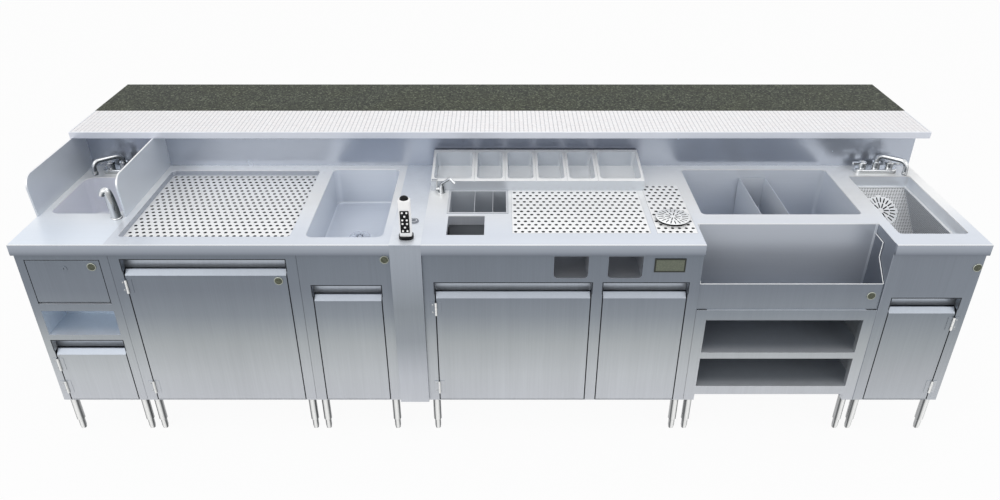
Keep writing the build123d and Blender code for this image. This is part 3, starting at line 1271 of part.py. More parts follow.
holder = gun_block(HOLDER_WALL + SLIP, TOP, TOP + HOLDER_HEIGHT)
add("gun_holder", holder - gun_block(SLIP, gun_z0, TOP + HOLDER_HEIGHT + 1))
gun_cap = gun_block(0, gun_z1, gun_z1 + GUN_CAP)
gun_cap = fillet(gun_cap.edges().group_by(Axis.Z)[-1], GUN_CAP_ROUND)
add("soda_gun", gun_block(0, gun_z0, gun_z1), gun_cap)
pad_y = gun_y - GUN_DEPTH / 2
pad_z0 = gun_z0 + KEYPAD_RISE
pad_z1 = pad_z0 + KEYPAD_LENGTH
pad = block(gun_x - KEYPAD_WIDTH / 2, gun_x + KEYPAD_WIDTH / 2, pad_y - KEYPAD, pad_y, pad_z0, pad_z1)
key_step = (pad_z1 - pad_z0) / len(KEY_ROWS)
for row, count in enumerate(KEY_ROWS):
    key_z = pad_z1 - (row + 0.5) * key_step
    for key_x in ((gun_x,) if count == 1 else (gun_x - KEY_SPREAD, gun_x + KEY_SPREAD)):
        pad += Pos(key_x, pad_y - KEYPAD - KEY_RISE / 2, key_z) * Rot(X=90) * Cylinder(KEY_RADIUS, KEY_RISE)
add("soda_gun", pad)
grommet_x = COLUMN_LEFT + GROMMET_X
grommet_y = FRONT + GROMMET_Y
grommet = rod(grommet_x, grommet_y, TOP, TOP + GROMMET_RISE, GROMMET_RADIUS)
grommet = fillet(grommet.edges().group_by(Axis.Z)[-1], GROMMET_RISE / 2)
add("soda_column", grommet - rod(grommet_x, grommet_y, TOP - 1, TOP + GROMMET_RISE + 1, GROMMET_BORE))

os.makedirs("parts", exist_ok=True)
for node, solids in nodes.items():
    export_step(Compound(solids), f"parts/{node}.step")
print(len(nodes), "nodes,", sum(len(solids) for solids in nodes.values()), "solids")
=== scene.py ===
# %% [markdown]
# # A stainless bar station, dressed for its picture
# The shapes come from CAD: every sheet, bowl, door and pan is already an exact solid.
# This lesson gives each of them its real finish and adds the small pieces that a CAD model
# leaves plain: mosaic tiles, badges, keys, punched sheets, screws and spout tips.
# Everything is in metres, in the frame of the CAD model: X runs along the front, the front
# edge is at negative Y, and the floor is at Z = 0.

# %% Load the station
import bmesh
import bpy
import math
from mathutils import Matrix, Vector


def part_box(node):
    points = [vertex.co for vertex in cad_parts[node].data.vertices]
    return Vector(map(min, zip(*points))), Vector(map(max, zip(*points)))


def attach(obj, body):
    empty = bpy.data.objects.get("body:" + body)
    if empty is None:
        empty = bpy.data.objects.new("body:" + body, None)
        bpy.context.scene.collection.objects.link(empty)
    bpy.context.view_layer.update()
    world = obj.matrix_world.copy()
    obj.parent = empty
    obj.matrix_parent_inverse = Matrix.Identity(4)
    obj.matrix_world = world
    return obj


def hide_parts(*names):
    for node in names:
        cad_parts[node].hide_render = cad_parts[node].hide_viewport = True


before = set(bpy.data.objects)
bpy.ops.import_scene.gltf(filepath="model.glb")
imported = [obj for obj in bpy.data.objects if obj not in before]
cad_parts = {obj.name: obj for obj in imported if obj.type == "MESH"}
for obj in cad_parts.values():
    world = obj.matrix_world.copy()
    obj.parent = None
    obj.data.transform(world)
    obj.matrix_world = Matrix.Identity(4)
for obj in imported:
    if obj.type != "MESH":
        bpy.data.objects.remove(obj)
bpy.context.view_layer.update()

# %% [markdown]
# ## Camera
# The picture looks down on the middle of the station from the front. Matching the corners of
# the worktop, the fronts and the bar top gives a camera 2.07 m up, tilted 30 degrees down,
# with a rather wide lens. No shift is needed, because the view is centred.

# %% Camera
CAMERA_PLACE = (0, -2.7476, 2.0681)
CAMERA_TILT = 30.13
camera_data = bpy.data.cameras.new("front_camera")
camera_data.sensor_width = 36
camera_data.lens = 28.8
camera = bpy.data.objects.new("front_camera", camera_data)
camera.location = CAMERA_PLACE
camera.rotation_euler = (math.radians(90 - CAMERA_TILT), 0, 0)
bpy.context.scene.collection.objects.link(camera)
bpy.context.scene.camera = camera
bpy.context.scene.view_settings.view_transform = "Standard"
print("camera", CAMERA_PLACE, "lens", camera_data.lens)

# %% [markdown]
# ## Shader sums
# A finish is a net of nodes, and a net is easier to read as a formula. The class below wraps
# one output socket, so that `1 - mask * 0.4` adds the Math nodes by itself. Every operator has
# a plain and a reflected form, and `<` is `>` read from the other side. Every other kind of node
# comes from the `node` method: first the node's settings, then its inputs.

# %% A socket that can be used in sums
def sums(operation):
    """An operator as a Math node, and the same with its two inputs exchanged."""
    def plain(self, other):
        return self.node("ShaderNodeMath", {"operation": operation}, {0: self, 1: other})

    def reflected(self, other):
        return self.node("ShaderNodeMath", {"operation": operation}, {0: other, 1: self})

    return plain, reflected


class Tone:
    """One output socket of a node tree, or the empty start of a tree."""

    def __init__(self, tree, socket=None):
        self.tree = tree
        self.socket = socket

    def node(self, kind, settings=None, inputs=None, output=0):
        made = self.tree.nodes.new(kind)
        for name, value in (settings or {}).items():
            if name == "stops":
                ramp = made.color_ramp.elements
                while len(ramp) < len(value):
                    ramp.new(0.5)
                for stop, (place, colour) in zip(ramp, value):
                    stop.position = place
                    stop.color = (*colour, 1)
            else:
                setattr(made, name, value)
        for name, value in (inputs or {}).items():
            if isinstance(value, Tone):
                self.tree.links.new(value.socket, made.inputs[name])
            else:
                made.inputs[name].default_value = value
        if isinstance(output, tuple):
            return [Tone(self.tree, made.outputs[name]) for name in output]
        return Tone(self.tree, made.outputs[output])

    __add__, __radd__ = sums("ADD")
    __sub__, __rsub__ = sums("SUBTRACT")
    __mul__, __rmul__ = sums("MULTIPLY")
    __truediv__, __rtruediv__ = sums("DIVIDE")
    __gt__, __lt__ = sums("GREATER_THAN")

    def __abs__(self):
        return self.node("ShaderNodeMath", {"operation": "ABSOLUTE"}, {0: self})

    def parts(self):
        return self.node("ShaderNodeSeparateXYZ", None, {0: self}, ("X", "Y", "Z"))


print("Tone ready")

# %% [markdown]
# ## Floor, background and light
# The station stands in a white room. The floor and the world show plain white to the camera
# and to reflections, while the light that falls on the pieces stays at a plain level.
# A share of the floor's real shading is kept, so that the legs still have a soft shadow.
# Three large soft lamps do what a studio does: one from the front left, a weaker one from the
# right, and one overhead.

# %% White world
LIGHT_LEVEL = 0.72


def seen_directly(start):
    """1 for what the camera or a shiny or clear piece shows, 0 for light that falls on the pieces."""
    rays = ("Is Camera Ray", "Is Glossy Ray", "Is Transmission Ray")
    camera_ray, mirror_ray, glass_ray = start.node("ShaderNodeLightPath", output=rays)
    return (camera_ray + mirror_ray + glass_ray) > 0.5


world = bpy.data.worlds.new("white_room")
world.use_nodes = True
bpy.context.scene.world = world
strength = seen_directly(Tone(world.node_tree)) * (1 - LIGHT_LEVEL) + LIGHT_LEVEL
background = world.node_tree.nodes["Background"]
background.inputs["Color"].default_value = (1, 1, 1, 1)
world.node_tree.links.new(strength.socket, background.inputs["Strength"])
print("world at", LIGHT_LEVEL)

# %% Floor
FLOOR_SIZE = 30
FLOOR_WHITE = 0.94
bpy.ops.object.select_all(action="DESELECT")
bpy.ops.mesh.primitive_plane_add(size=FLOOR_SIZE, location=(0, 0, 0))
floor = bpy.context.active_object
floor.name = "floor"
floor_look = bpy.data.materials.new("white_floor")
floor_look.use_nodes = True
floor_tree = floor_look.node_tree
paint = Tone(floor_tree)
floor_shader = floor_tree.nodes["Principled BSDF"]
floor_shader.inputs["Base Color"].default_value = (0.86, 0.86, 0.86, 1)
floor_shader.inputs["Roughness"].default_value = 0.9
floor_shader.inputs["Specular IOR Level"].default_value = 0
glow = paint.node("ShaderNodeEmission", None, {"Color": (1, 1, 1, 1), "Strength": 1.0})
mixed = paint.node("ShaderNodeMixShader", None, {
    0: seen_directly(paint) * FLOOR_WHITE, 1: Tone(floor_tree, floor_shader.outputs[0]), 2: glow})
floor_tree.links.new(mixed.socket, floor_tree.nodes["Material Output"].inputs["Surface"])
floor.data.materials.append(floor_look)
print("floor", FLOOR_SIZE, "m")

# %% Lamps
def lamp(name, place, aim, size, brightness):
    """A soft rectangular lamp; brightness 1 is as bright as the white room."""
    data = bpy.data.lights.new(name, "AREA")
    data.shape = "RECTANGLE"
    data.size, data.size_y = size
    data.energy = brightness * math.pi * size[0] * size[1]
    holder = bpy.data.objects.new(name, data)
    holder.location = place
    way = [a - b for a, b in zip(aim, place)]
    flat = math.hypot(way[0], way[1])
    holder.rotation_euler = (math.atan2(flat, -way[2]), 0, math.atan2(way[1], way[0]) - math.pi / 2)
    bpy.context.scene.collection.objects.link(holder)
    print(name, "at", place, round(data.energy), "W")


lamp("front_left_lamp", (-2.6, -3.4, 3.2), (0, 0, 0.5), (3.0, 2.2), 1.5)
lamp("front_right_lamp", (3.0, -3.0, 2.8), (0, 0, 0.5), (2.6, 2.0), 0.8)
lamp("overhead_lamp", (0.3, 0.2, 3.6), (0.3, 0.2, 0), (4.0, 1.6), 0.9)

# %% [markdown]
# ## Steel
# Sheet steel is one metal with several faces. The fronts have a vertical brush grain and go
# from slate grey under the worktop to a light grey near the floor, because the lower half
# mirrors the bright floor. Faces that look up mirror the white ceiling and are nearly white.
# So the colour is written twice, once for upright faces by height and once for faces that look
# up, and the face's own direction mixes the two. Stretched noise makes the grain, a second
# slow noise the faint clouds of a rolled sheet, and a third the wiped, slightly uneven shine.

# %% Colour helpers
WHITE = (255, 255, 255)


def shade(red, green, blue):
    """A colour read from a screen, 0 to 255, as the linear numbers that Blender works in."""
    screen = [value / 255 for value in (red, green, blue)]
    return tuple(((c + 0.055) / 1.055) ** 2.4 if c > 0.04 else c / 12.92 for c in screen)


def new_finish(name, metallic, roughness):
    """A material with its shader, and where a point lies and faces on its piece."""
    material = bpy.data.materials.new(name)
    material.use_nodes = True
    shader = material.node_tree.nodes["Principled BSDF"]
    shader.inputs["Metallic"].default_value = metallic
    shader.inputs["Roughness"].default_value = roughness
    place, facing = Tone(material.node_tree).node("ShaderNodeTexCoord", output=("Object", "Normal"))
    print("finish", name)
    return material, shader, place, facing


def blend(factor, first, second, way="MIX"):
    """Two colours mixed, or multiplied where way says so; a plain colour is one read from a screen.
    One of the three is a Tone."""
    tone = next(value for value in (factor, first, second) if isinstance(value, Tone))
    first, second = (c if isinstance(c, Tone) else (*shade(*c), 1) for c in (first, second))
    settings = {"data_type": "RGBA", "blend_type": way}
    return tone.node("ShaderNodeMix", settings, {0: factor, 6: first, 7: second}, 2)


def speckle(place, stretch, detail=2.0):
    """Noise from 0 to 1, stretched by a scale along each axis."""
    moved = place.node("ShaderNodeMapping", None, {"Vector": place, "Scale": stretch})
    return place.node("ShaderNodeTexNoise", None,
                      {"Vector": moved, "Scale": 1.0, "Detail": detail, "Roughness": 0.6})


def between(value, low, high):
    """0 below low, 1 above high, and a smooth step between them."""
    return value.node("ShaderNodeMapRange", {"interpolation_type": "SMOOTHSTEP"},
                      {"Value": value, "From Min": low, "From Max": high})


def bump(height, strength, distance, **more):
    """A fine relief of the shading."""
    return height.node("ShaderNodeBump", None,
                       {"Height": height, "Strength": strength, "Distance": distance, **more})


def feed(shader, **values):
    """Link sums to the shader's sockets; names use _ for a space."""
    for name, value in values.items():
        value.tree.links.new(value.socket, shader.inputs[name.replace("_", " ").title()])


print("screen white is", shade(*WHITE))

# %% Sheet steel
FLOOR_END = 0.152
TOP_END = 0.80
SOFT_EDGE = 0.0008


def sheet_steel(name, heights, top, grain_scale, metallic, roughness, grain=0.16, cloud=0.16, marks=()):
    """Brushed sheet: colours by height on upright faces, top on faces that look up.
    Each of the marks may paint over the colour; it gets the point, the direction and the
    colour so far."""
    material, shader, place, facing = new_finish(name, metallic, roughness)
    point = place.parts()
    way = facing.parts()
    span = TOP_END - FLOOR_END
    stops = [((level - FLOOR_END) / span, shade(*colour)) for level, colour in heights]
    upright = place.node("ShaderNodeValToRGB", {"stops": stops}, {0: (point[2] - FLOOR_END) / span})
    colour = blend(between(way[2], 0.25, 0.75), upright, top)
    brushed = speckle(place, grain_scale, 3.0)
    streaks = speckle(place, [scale / 7 for scale in grain_scale])
    clouds = speckle(place, (3.0, 3.0, 1.6), 1.0)
    tone = (brushed - 0.5) * grain + (streaks - 0.5) * grain * 0.6 + (clouds - 0.5) * cloud + 1.0
    for mark in marks:
        colour = mark(point, way, colour)
    colour = blend(1.0, colour, tone, "MULTIPLY")
    wiped = speckle(place, (9, 9, 7))
    feed(shader, base_color=colour, roughness=(brushed - 0.5) * 0.10 + (wiped - 0.5) * 0.10 + roughness)
    soft = place.node("ShaderNodeBevel", {"samples": 4}, {"Radius": SOFT_EDGE})
    feed(shader, normal=bump(brushed, 0.06, 0.0004, Normal=soft))
    return material


print("sheet colours from", FLOOR_END, "to", TOP_END, "m")

# %% Colours by height
UPRIGHT_GRAIN = (260, 260, 5)
LENGTHWISE_GRAIN = (5, 260, 260)
FRONT_HEIGHTS = [
    (0.16, (196, 199, 205)), (0.27, (190, 194, 198)), (0.40, (170, 175, 178)),
    (0.52, (136, 143, 151)), (0.62, (120, 127, 137)), (0.78, (113, 121, 131))]
COLUMN_HEIGHTS = [
    (0.16, (202, 205, 212)), (0.27, (192, 196, 203)), (0.42, (150, 156, 163)),
    (0.55, (136, 143, 150)), (0.68, (150, 157, 167)), (0.79, (158, 165, 175))]
# Painted shade: the worktop's front fold is darker towards its lower edge.
WORKTOP_HEIGHTS = [
    (0.762, (112, 119, 130)), (0.776, (146, 153, 164)), (0.797, (164, 171, 182))]
WORKTOP_WHITE = (221, 227, 237)
LIP_TOP = (178, 185, 195)


def upright_sheet(name, marks, heights=FRONT_HEIGHTS, metallic=0.6):
    return sheet_steel(name, heights, LIP_TOP, UPRIGHT_GRAIN, metallic, 0.36, marks=marks)


def level_sheet(name, marks, metallic=0.35, top=WORKTOP_WHITE):
    return sheet_steel(
        name, WORKTOP_HEIGHTS, top, LENGTHWISE_GRAIN, metallic, 0.32, 0.06, 0.08, marks)


print(len(FRONT_HEIGHTS), "greys on the fronts")

# %% [markdown]
# ## Painted shade in the gaps, painted light on the edges
# A door hangs in an opening of its frame, and what shows of the gap round it lies in shade. So the
# inner edges of the frame, a fine line along the opening and the door's own edge behind its front
# fold are painted dark grey, a painted shade. The strip behind a pull, the sills and the bowls are
# painted lighter instead, a painted light.

# %% Marks on frames and doors
HEADER_Y = (-0.490, -0.380)
FRAME_BACK = -0.502
FACE_LINE = -0.5215
EDGE_SHADE_Y = (-0.5195, -0.5100)
SILL_Y = (-0.522, -0.462)
# Painted shade: the dark grey of faces that lie in a gap.
GAP_SHADE = (34, 38, 44)
LEAF = 0.005
PULLED = (
    ("waste_door", LEAF, 0), ("glass_door", LEAF, 0), ("bottle_drawer", 0, 0),
    ("cocktail_door", LEAF, 0), ("cocktail_drawer", 0, 0), ("dump_door", 0, LEAF))
FRAMED = (*PULLED, ("towel_door", 0, 0))
FINGER_ROOM = 0.044
DOOR_GAP = 0.0025
LINE = 0.0034
SIDE_LINE = 0.0015
REVEAL = 0.012


def over_pulls(point, margin, fronts=PULLED, whole=False):
    """1 in the finger room above each pull, or in the whole opening, widened by a margin.
    Hinge leaves don't count."""
    rooms = 0.0
    for name, left_leaf, right_leaf in fronts:
        low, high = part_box(name)
        reach = DOOR_GAP + margin
        beside = (point[0] > low[0] + left_leaf - reach) * (point[0] < high[0] - right_leaf + reach)
        bottom = low[2] - margin if whole else high[2]
        rooms = rooms + beside * (point[2] > bottom) * (point[2] < high[2] + FINGER_ROOM + margin)
    return rooms


def bright_recess(point, way, colour):
    """The strip behind each pull mirrors a little of the white room."""
    behind = (point[1] > HEADER_Y[0]) * (point[1] < HEADER_Y[1])
    return blend((way[1] < -0.7) * behind, colour, (188, 195, 205))


def dark_reveals(point, way, colour):
    """Painted shade: the inner edges of the frame, beside and above the doors, lie in their gaps and are
    painted dark grey.
    """
    edge = (abs(way[0]) > 0.7) + (way[2] < -0.5)
    openings = over_pulls(point, REVEAL, FRAMED, True) > 0.5
    gap = openings * (point[1] < FRAME_BACK) * (1 - over_pulls(point, LINE))
    return blend(edge * gap, colour, GAP_SHADE)


def opening_lines(point, way, colour):
    """Painted shade: a fine dark line follows the folded edge of each finger room and of each opening's
    sides.
    """
    front = (way[1] < -0.7) * (point[1] < FACE_LINE)
    lines = over_pulls(point, LINE) + over_pulls(point, SIDE_LINE, whole=True)
    return blend(front * lines, colour, GAP_SHADE)


def dark_edges(point, way, colour):
    """Painted shade: behind its front fold, a door's edge is painted dark grey, as the gap round it lies in
    shade.
    """
    seal = (point[1] > EDGE_SHADE_Y[0]) * (point[1] < EDGE_SHADE_Y[1])
    return blend((abs(way[0]) > 0.7) * seal, colour, GAP_SHADE)


def lit_sills(point, way, colour):
    """Shelves and sills are bright along their front edge and darker further in."""
    near = 1 - between(point[1], *SILL_Y)
    return blend((way[2] > 0.5) * near, colour, (232, 236, 242))


FRAME_MARKS = (bright_recess, dark_reveals, opening_lines)
front_steel = upright_sheet("front_steel", (dark_edges,))
frame_steel = upright_sheet("frame_steel", (*FRAME_MARKS, lit_sills))
column_steel = sheet_steel("column_steel", COLUMN_HEIGHTS, (230, 235, 242), UPRIGHT_GRAIN, 0.4, 0.38)

# %% Worktops
END_X = 1.565
BOWL_FRONT = -0.515
BOWL_Z = (0.56, 0.79)
BOWL_RIM = 0.7965
DECK_Z = 0.795
REAR_Y = (-0.48, -0.16)
FOLD_Y = -0.529


def worktop_light(point, way, colour):
    """Painted light and shade: bowls are pale, darker with depth and white at the rim; the top is whiter
    towards the wall and at its folds.
    """
    up = way[2] > 0.5
    inner = (1 - up) * (point[1] > BOWL_FRONT) * (abs(point[0]) < END_X)
    bowl = blend(between(point[2], *BOWL_Z), (196, 202, 212), (228, 233, 240))
    colour = blend(inner, colour, bowl)
    colour = blend(inner * (point[2] > BOWL_RIM), colour, WHITE)
    rear = between(point[1], *REAR_Y)
    fold = point[1] < FOLD_Y
    return blend(up * (point[2] > DECK_Z) * (rear + fold), colour, (254, 255, 255))


worktop_steel = level_sheet("worktop_steel", (worktop_light,))

# %% [markdown]
# ## Dark below the perforated plates
# Seen from above, the holes of the drainboard and of the work plate are black: hardly any
# light gets under the plates. The pans below them are steel too, but they lie in shade, so
# their colour is painted dark grey inside the box of each pan, a painted shade. Other boxes
# paint light or shade into the bowls, the niche and the slots in the same way.

# %% Steel with dark pans
# Painted shade: a dark grey for shaded pans, and a near black for the walls of holes and slots and what
# lies under the star.
DARK_SHADE = (36, 39, 44)
BLACK_SHADE = (14, 16, 19)
PLATE = 0.0025
PAN_ROOM = 0.02


def within(lows, highs, inner=DARK_SHADE):
    """A mark for sheet_steel: another colour inside the box between two corners."""
    def mark(point, way, colour):
        mask = 1.0
        for value, low, high in zip(point, lows, highs):
            mask = mask * (value > low) * (value < high)
        return blend(mask, colour, inner)
    return mark


def under(low, high, bottom, top, inner=DARK_SHADE):
    """The same in the box of a pan, a little wider than the plate over it."""
    return within((low[0] - PAN_ROOM, low[1] - PAN_ROOM, bottom),
                  (high[0] + PAN_ROOM, high[1] + PAN_ROOM, top), inner)


def plate_light(point, way, colour):
    """Painted light and shade: the plates' upper faces are painted white, the walls of their holes nearly
    black.
    """
    return blend(way[2] > 0.5, BLACK_SHADE, (253, 254, 255))


drain_low, drain_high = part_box("drainboard_grate")
work_low, work_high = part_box("work_grate")
# Painted shade: the step round the drainboard grate is a darker grey, and the pans under the drainboard and
# the work plate are dark grey.
drain_step = under(drain_low, drain_high, drain_high[2] - PLATE, 0.7985, (176, 182, 193))
drain_pan = under(drain_low, drain_high, 0.60, drain_high[2] - PLATE)
drip_pans = under(work_low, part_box("rinser_plate")[1], 0.74, work_high[2] - PLATE)
pan_steel = level_sheet("pan_steel", (worktop_light, drain_step, drain_pan))
plate_steel = level_sheet("plate_steel", (plate_light,), 0.15)

# %% Steel of the single modules
# Painted light: the lips of the chute and the inside of the towel slots are painted lighter.
chute_lips = within((-0.180, -0.470, 0.764), (-0.048, -0.328, 0.801), (214, 218, 226))
towel_slots = within((0.17, -0.515, 0.66), (0.48, -0.34, 0.77), (186, 190, 197))
cabinet_steel = upright_sheet("cabinet_steel", (*FRAME_MARKS, towel_slots, chute_lips, drip_pans))
# Painted light: the niche and the hand bowl are painted lighter.
niche = within((-1.56, -0.5215, 0.43), (-1.28, -0.38, 0.545), (208, 218, 229))
hand_cabinet_steel = upright_sheet("hand_cabinet_steel", (*FRAME_MARKS, niche, lit_sills), metallic=0.5)
hand_bowl = within((-1.56, -0.470, 0.50), (-1.29, -0.010, 0.7965), (236, 238, 245))
hand_top_steel = level_sheet("hand_top_steel", (worktop_light, hand_bowl), 0.25, (233, 241, 252))
# Painted shade: the trough's back wall is painted a mid grey, darker than the pale bowls.
trough_wall = within((0.67, -0.3875, 0.53), (1.26, -0.3845, 0.797), (180, 186, 196))
bin_steel = level_sheet("bin_steel", (worktop_light, trough_wall))
# Painted light: the trough's inner end is painted lighter than the fronts.
trough_end = within((1.262, -0.5155, 0.53), (1.2695, -0.385, 0.80), (130, 136, 147))
trough_steel = upright_sheet("trough_steel", (trough_end,))

# %% Steel of the dump sink
DUMP_HEIGHTS = [
    (0.16, (184, 188, 194)), (0.27, (174, 178, 183)), (0.40, (154, 160, 165)),
    (0.52, (132, 139, 147)), (0.62, (125, 132, 142)), (0.78, (123, 130, 140))]
BASKET_HEIGHTS = [(0.55, (158, 163, 170)), (0.75, (172, 177, 184))]
# Painted light: the dump cabinet's side beside the trough is painted one even grey, lighter than the shade
# it lies in.
dump_side = within((1.2690, -0.5235, 0.15), (1.2720, -0.30, 0.80), (150, 157, 168))
dump_steel = upright_sheet("dump_steel", (*FRAME_MARKS, dump_side), DUMP_HEIGHTS)
dump_front_steel = upright_sheet("dump_front_steel", (dark_edges,), DUMP_HEIGHTS)
# Painted shade: the dump bowl below the basket's rim is painted nearly black.
dump_bowl = within((1.3065, -0.4570, 0.50), (1.5385, -0.0060, 0.7530), (26, 28, 32))
dump_top_steel = level_sheet("dump_top_steel", (worktop_light, dump_bowl))
basket_steel = sheet_steel(
    "basket_steel", BASKET_HEIGHTS, (246, 248, 251), LENGTHWISE_GRAIN, 0.3, 0.36, 0.05, 0.05)

# %% [markdown]
# ## Polished sheet and chrome
# The backsplash, the splash guards and the pans are polished until they mirror the room, and
# chrome fittings mirror it sharply. In an all-white room a mirror looks white and loses its
# form, so the colour itself darkens on the faces that look sideways and a little downwards,
# as they would with a dark wall beside them. The direction is the face's own, so the shade
# stays on the piece from every side. A bevel of the shading softens the edges.

# %% Polished steel and chrome
def polished(name, bright, deep, metallic, roughness, band=(0.15, 0.75), edge=SOFT_EDGE, marks=()):
    """A mirror finish, bright on faces that look up, deep on faces that look sideways."""
    material, shader, place, facing = new_finish(name, metallic, roughness)
    side, front, up = facing.parts()
    smear = speckle(place, (14, 14, 10))
    colour = blend(between(up + side * -0.35 + front * -0.25, *band), deep, bright)
    for mark in marks:
        colour = mark(place.parts(), (side, front, up), colour)
    colour = blend(1.0, colour, (smear - 0.5) * 0.04 + 1.0, "MULTIPLY")
    feed(shader, base_color=colour, roughness=(smear - 0.5) * 0.06 + roughness)
    if edge:
        feed(shader, normal=place.node("ShaderNodeBevel", {"samples": 4}, {"Radius": edge}))
    return material


rail_low, rail_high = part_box("garnish_rail")
PAN_BACKS = (0.87, 0.94)


def behind_pans(point, way, colour):
    """The backsplash mirrors the shaded backs of the garnish pans, most of all just above them."""
    left = between(point[0], rail_low[0] - 0.03, rail_low[0] + 0.01)
    right = between(point[0], rail_high[0] - 0.01, rail_high[0] + 0.03)
    rise = between(point[2], *PAN_BACKS)
    return blend(left * (1 - right) * (1 - rise * 0.5), colour, (136, 142, 156))


MIRROR = ((216, 221, 230), (178, 185, 197), 0.7, 0.26)
splash_steel = polished("splash_steel", *MIRROR, edge=0, marks=(behind_pans,))
mirror_steel = polished("mirror_steel", *MIRROR, edge=0)
tray_steel = polished("tray_steel", (240, 243, 248), (214, 218, 228), 0.4, 0.30)
pan_shine = polished("pan_shine", (254, 255, 255), (202, 208, 216), 0.25, 0.24)
guard_steel = polished("guard_steel", (252, 253, 255), (206, 212, 220), 0.35, 0.30, edge=0)
chrome = polished("chrome", (226, 228, 230), (86, 90, 92), 0.9, 0.06, (-0.15, 0.55))
barrel_steel = polished("barrel_steel", (246, 246, 244), (198, 199, 198), 0.5, 0.28, (-0.3, 0.4))
tool_steel = polished("tool_steel", (206, 209, 214), (178, 183, 190), 0.2, 0.40)
bezel_steel = polished("bezel_steel", (206, 210, 200), (150, 154, 146), 0.7, 0.22)

# %% [markdown]
# ## Legs
# The legs are bright drawn tube. On a round tube the room shows as upright stripes: a white
# one in front, dark ones beside it and grey edges. The stripes follow the sideways part of
# the direction that a face looks in, and a slow noise lets them wander a little.

# %% Leg finish
STRIPES = [(0.0, (250, 250, 249)), (0.42, (226, 227, 226)), (0.62, (112, 114, 115)),
           (0.80, (84, 86, 88)), (0.94, (176, 177, 178))]
leg_steel, shader, place, facing = new_finish("leg_steel", 0.6, 0.22)
wander = speckle(place, (20, 20, 9))
across = abs(facing.parts()[0] + (wander - 0.5) * 0.12 - 0.1)
stops = [(share, shade(*colour)) for share, colour in STRIPES]
colour = place.node("ShaderNodeValToRGB", {"stops": stops}, {0: across})
feed(shader, base_color=colour, roughness=wander * 0.1 + 0.18)

# %% [markdown]
# ## Rinser star
# The rinser's pale slotted disc is pressed down, and water sprays up between its arms. It has
# drops and stains on it. The strip and the valve below it never see light, so they turn dark
# within its circle, and the slots read as dark strokes.

# %% Star finish
star_low, star_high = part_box("rinser_star")
star_x = (star_low[0] + star_high[0]) / 2
star_y = (star_low[1] + star_high[1]) / 2
STAR_SHADE = 0.053
star_steel, shader, place, facing = new_finish("star_steel", 0.3, 0.32)
drops = speckle(place, (300, 300, 300))
# Painted shade: all but the upward faces of the star are nearly black; its top is pale.
colour = blend(facing.parts()[2] > 0.5, BLACK_SHADE, (248, 250, 252))
colour = blend(1.0, colour, drops * 0.12 + 0.92, "MULTIPLY")
feed(shader, base_color=colour, roughness=drops * 0.3 + 0.2)


def under_star(point, way, colour):
    """Painted shade: dark in the circle below the star."""
    x = point[0] - star_x
    y = point[1] - star_y
    return blend((x * x + y * y) < STAR_SHADE ** 2, colour, BLACK_SHADE)


rinser_steel = level_sheet("rinser_steel", (plate_light, under_star), 0.15)

# %% [markdown]
# ## Which node gets which finish
# The CAD nodes keep their meshes. Only their material slots change.

# %% Dress the CAD nodes
def dress(material, *names):
    for name in names:
        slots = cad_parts[name].data.materials
        if not slots:
            slots.append(material)
        for index in range(len(slots)):
            slots[index] = material


CABINETS = ("glass_cabinet", "ice_well_cabinet", "speed_rail_cabinet", "towel_panel")
HARDWARE = ("drawer_runners", "hinge_leaves", "towel_lock")
DOORS = ("towel_door", "waste_door", "glass_door", "cocktail_door", "bottle_drawer", "cocktail_drawer")
FITTINGS = ("faucet_bodies", "soap_dispenser", "bar_faucet_spout", "bar_faucet_lever")
PANS = [f"garnish_pan_{number}" for number in range(1, 7)]
dress(front_steel, *DOORS, *HARDWARE)
dress(frame_steel, *CABINETS)
dress(hand_cabinet_steel, "hand_sink_cabinet")
dress(cabinet_steel, "cocktail_cabinet")
dress(column_steel, "soda_column")
dress(dump_steel, "dump_cabinet")
dress(dump_front_steel, "dump_door")
dress(trough_steel, "speed_rail_trough")
dress(hand_top_steel, "hand_sink_top")
dress(worktop_steel, "ice_well_top", "cocktail_top", "ice_dividers")
dress(dump_top_steel, "dump_sink_top")
dress(bin_steel, "ice_bin_top")
dress(plate_steel, "drainboard_grate", "work_grate")
dress(rinser_steel, "rinser_plate")
dress(star_steel, "rinser_star")
dress(basket_steel, "dump_basket")
dress(tool_steel, "tool_insert")
dress(pan_steel, "drainboard_top")
dress(splash_steel, "backsplash")
dress(mirror_steel, "sink_drains")
dress(tray_steel, "bar_top_tray")
dress(guard_steel, "splash_guards")
dress(pan_shine, "garnish_rail", *PANS)
dress(leg_steel, "legs", "leveling_feet", "bar_top_posts")
dress(chrome, *FITTINGS)
for tap in ("hand_faucet", "dump_faucet"):
    dress(chrome, f"{tap}_spout", f"{tap}_hot_lever", f"{tap}_cold_lever")
print("dressed", len(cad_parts), "nodes")

# %% [markdown]
# ## Stone counter
# The counter behind the tile is a dark, fine-grained stone: an olive grey ground with small
# pale and black crystals. A cell pattern picks out the crystals, and a slow noise makes the
# ground drift in tone. The polish is even, so the roughness hardly moves.

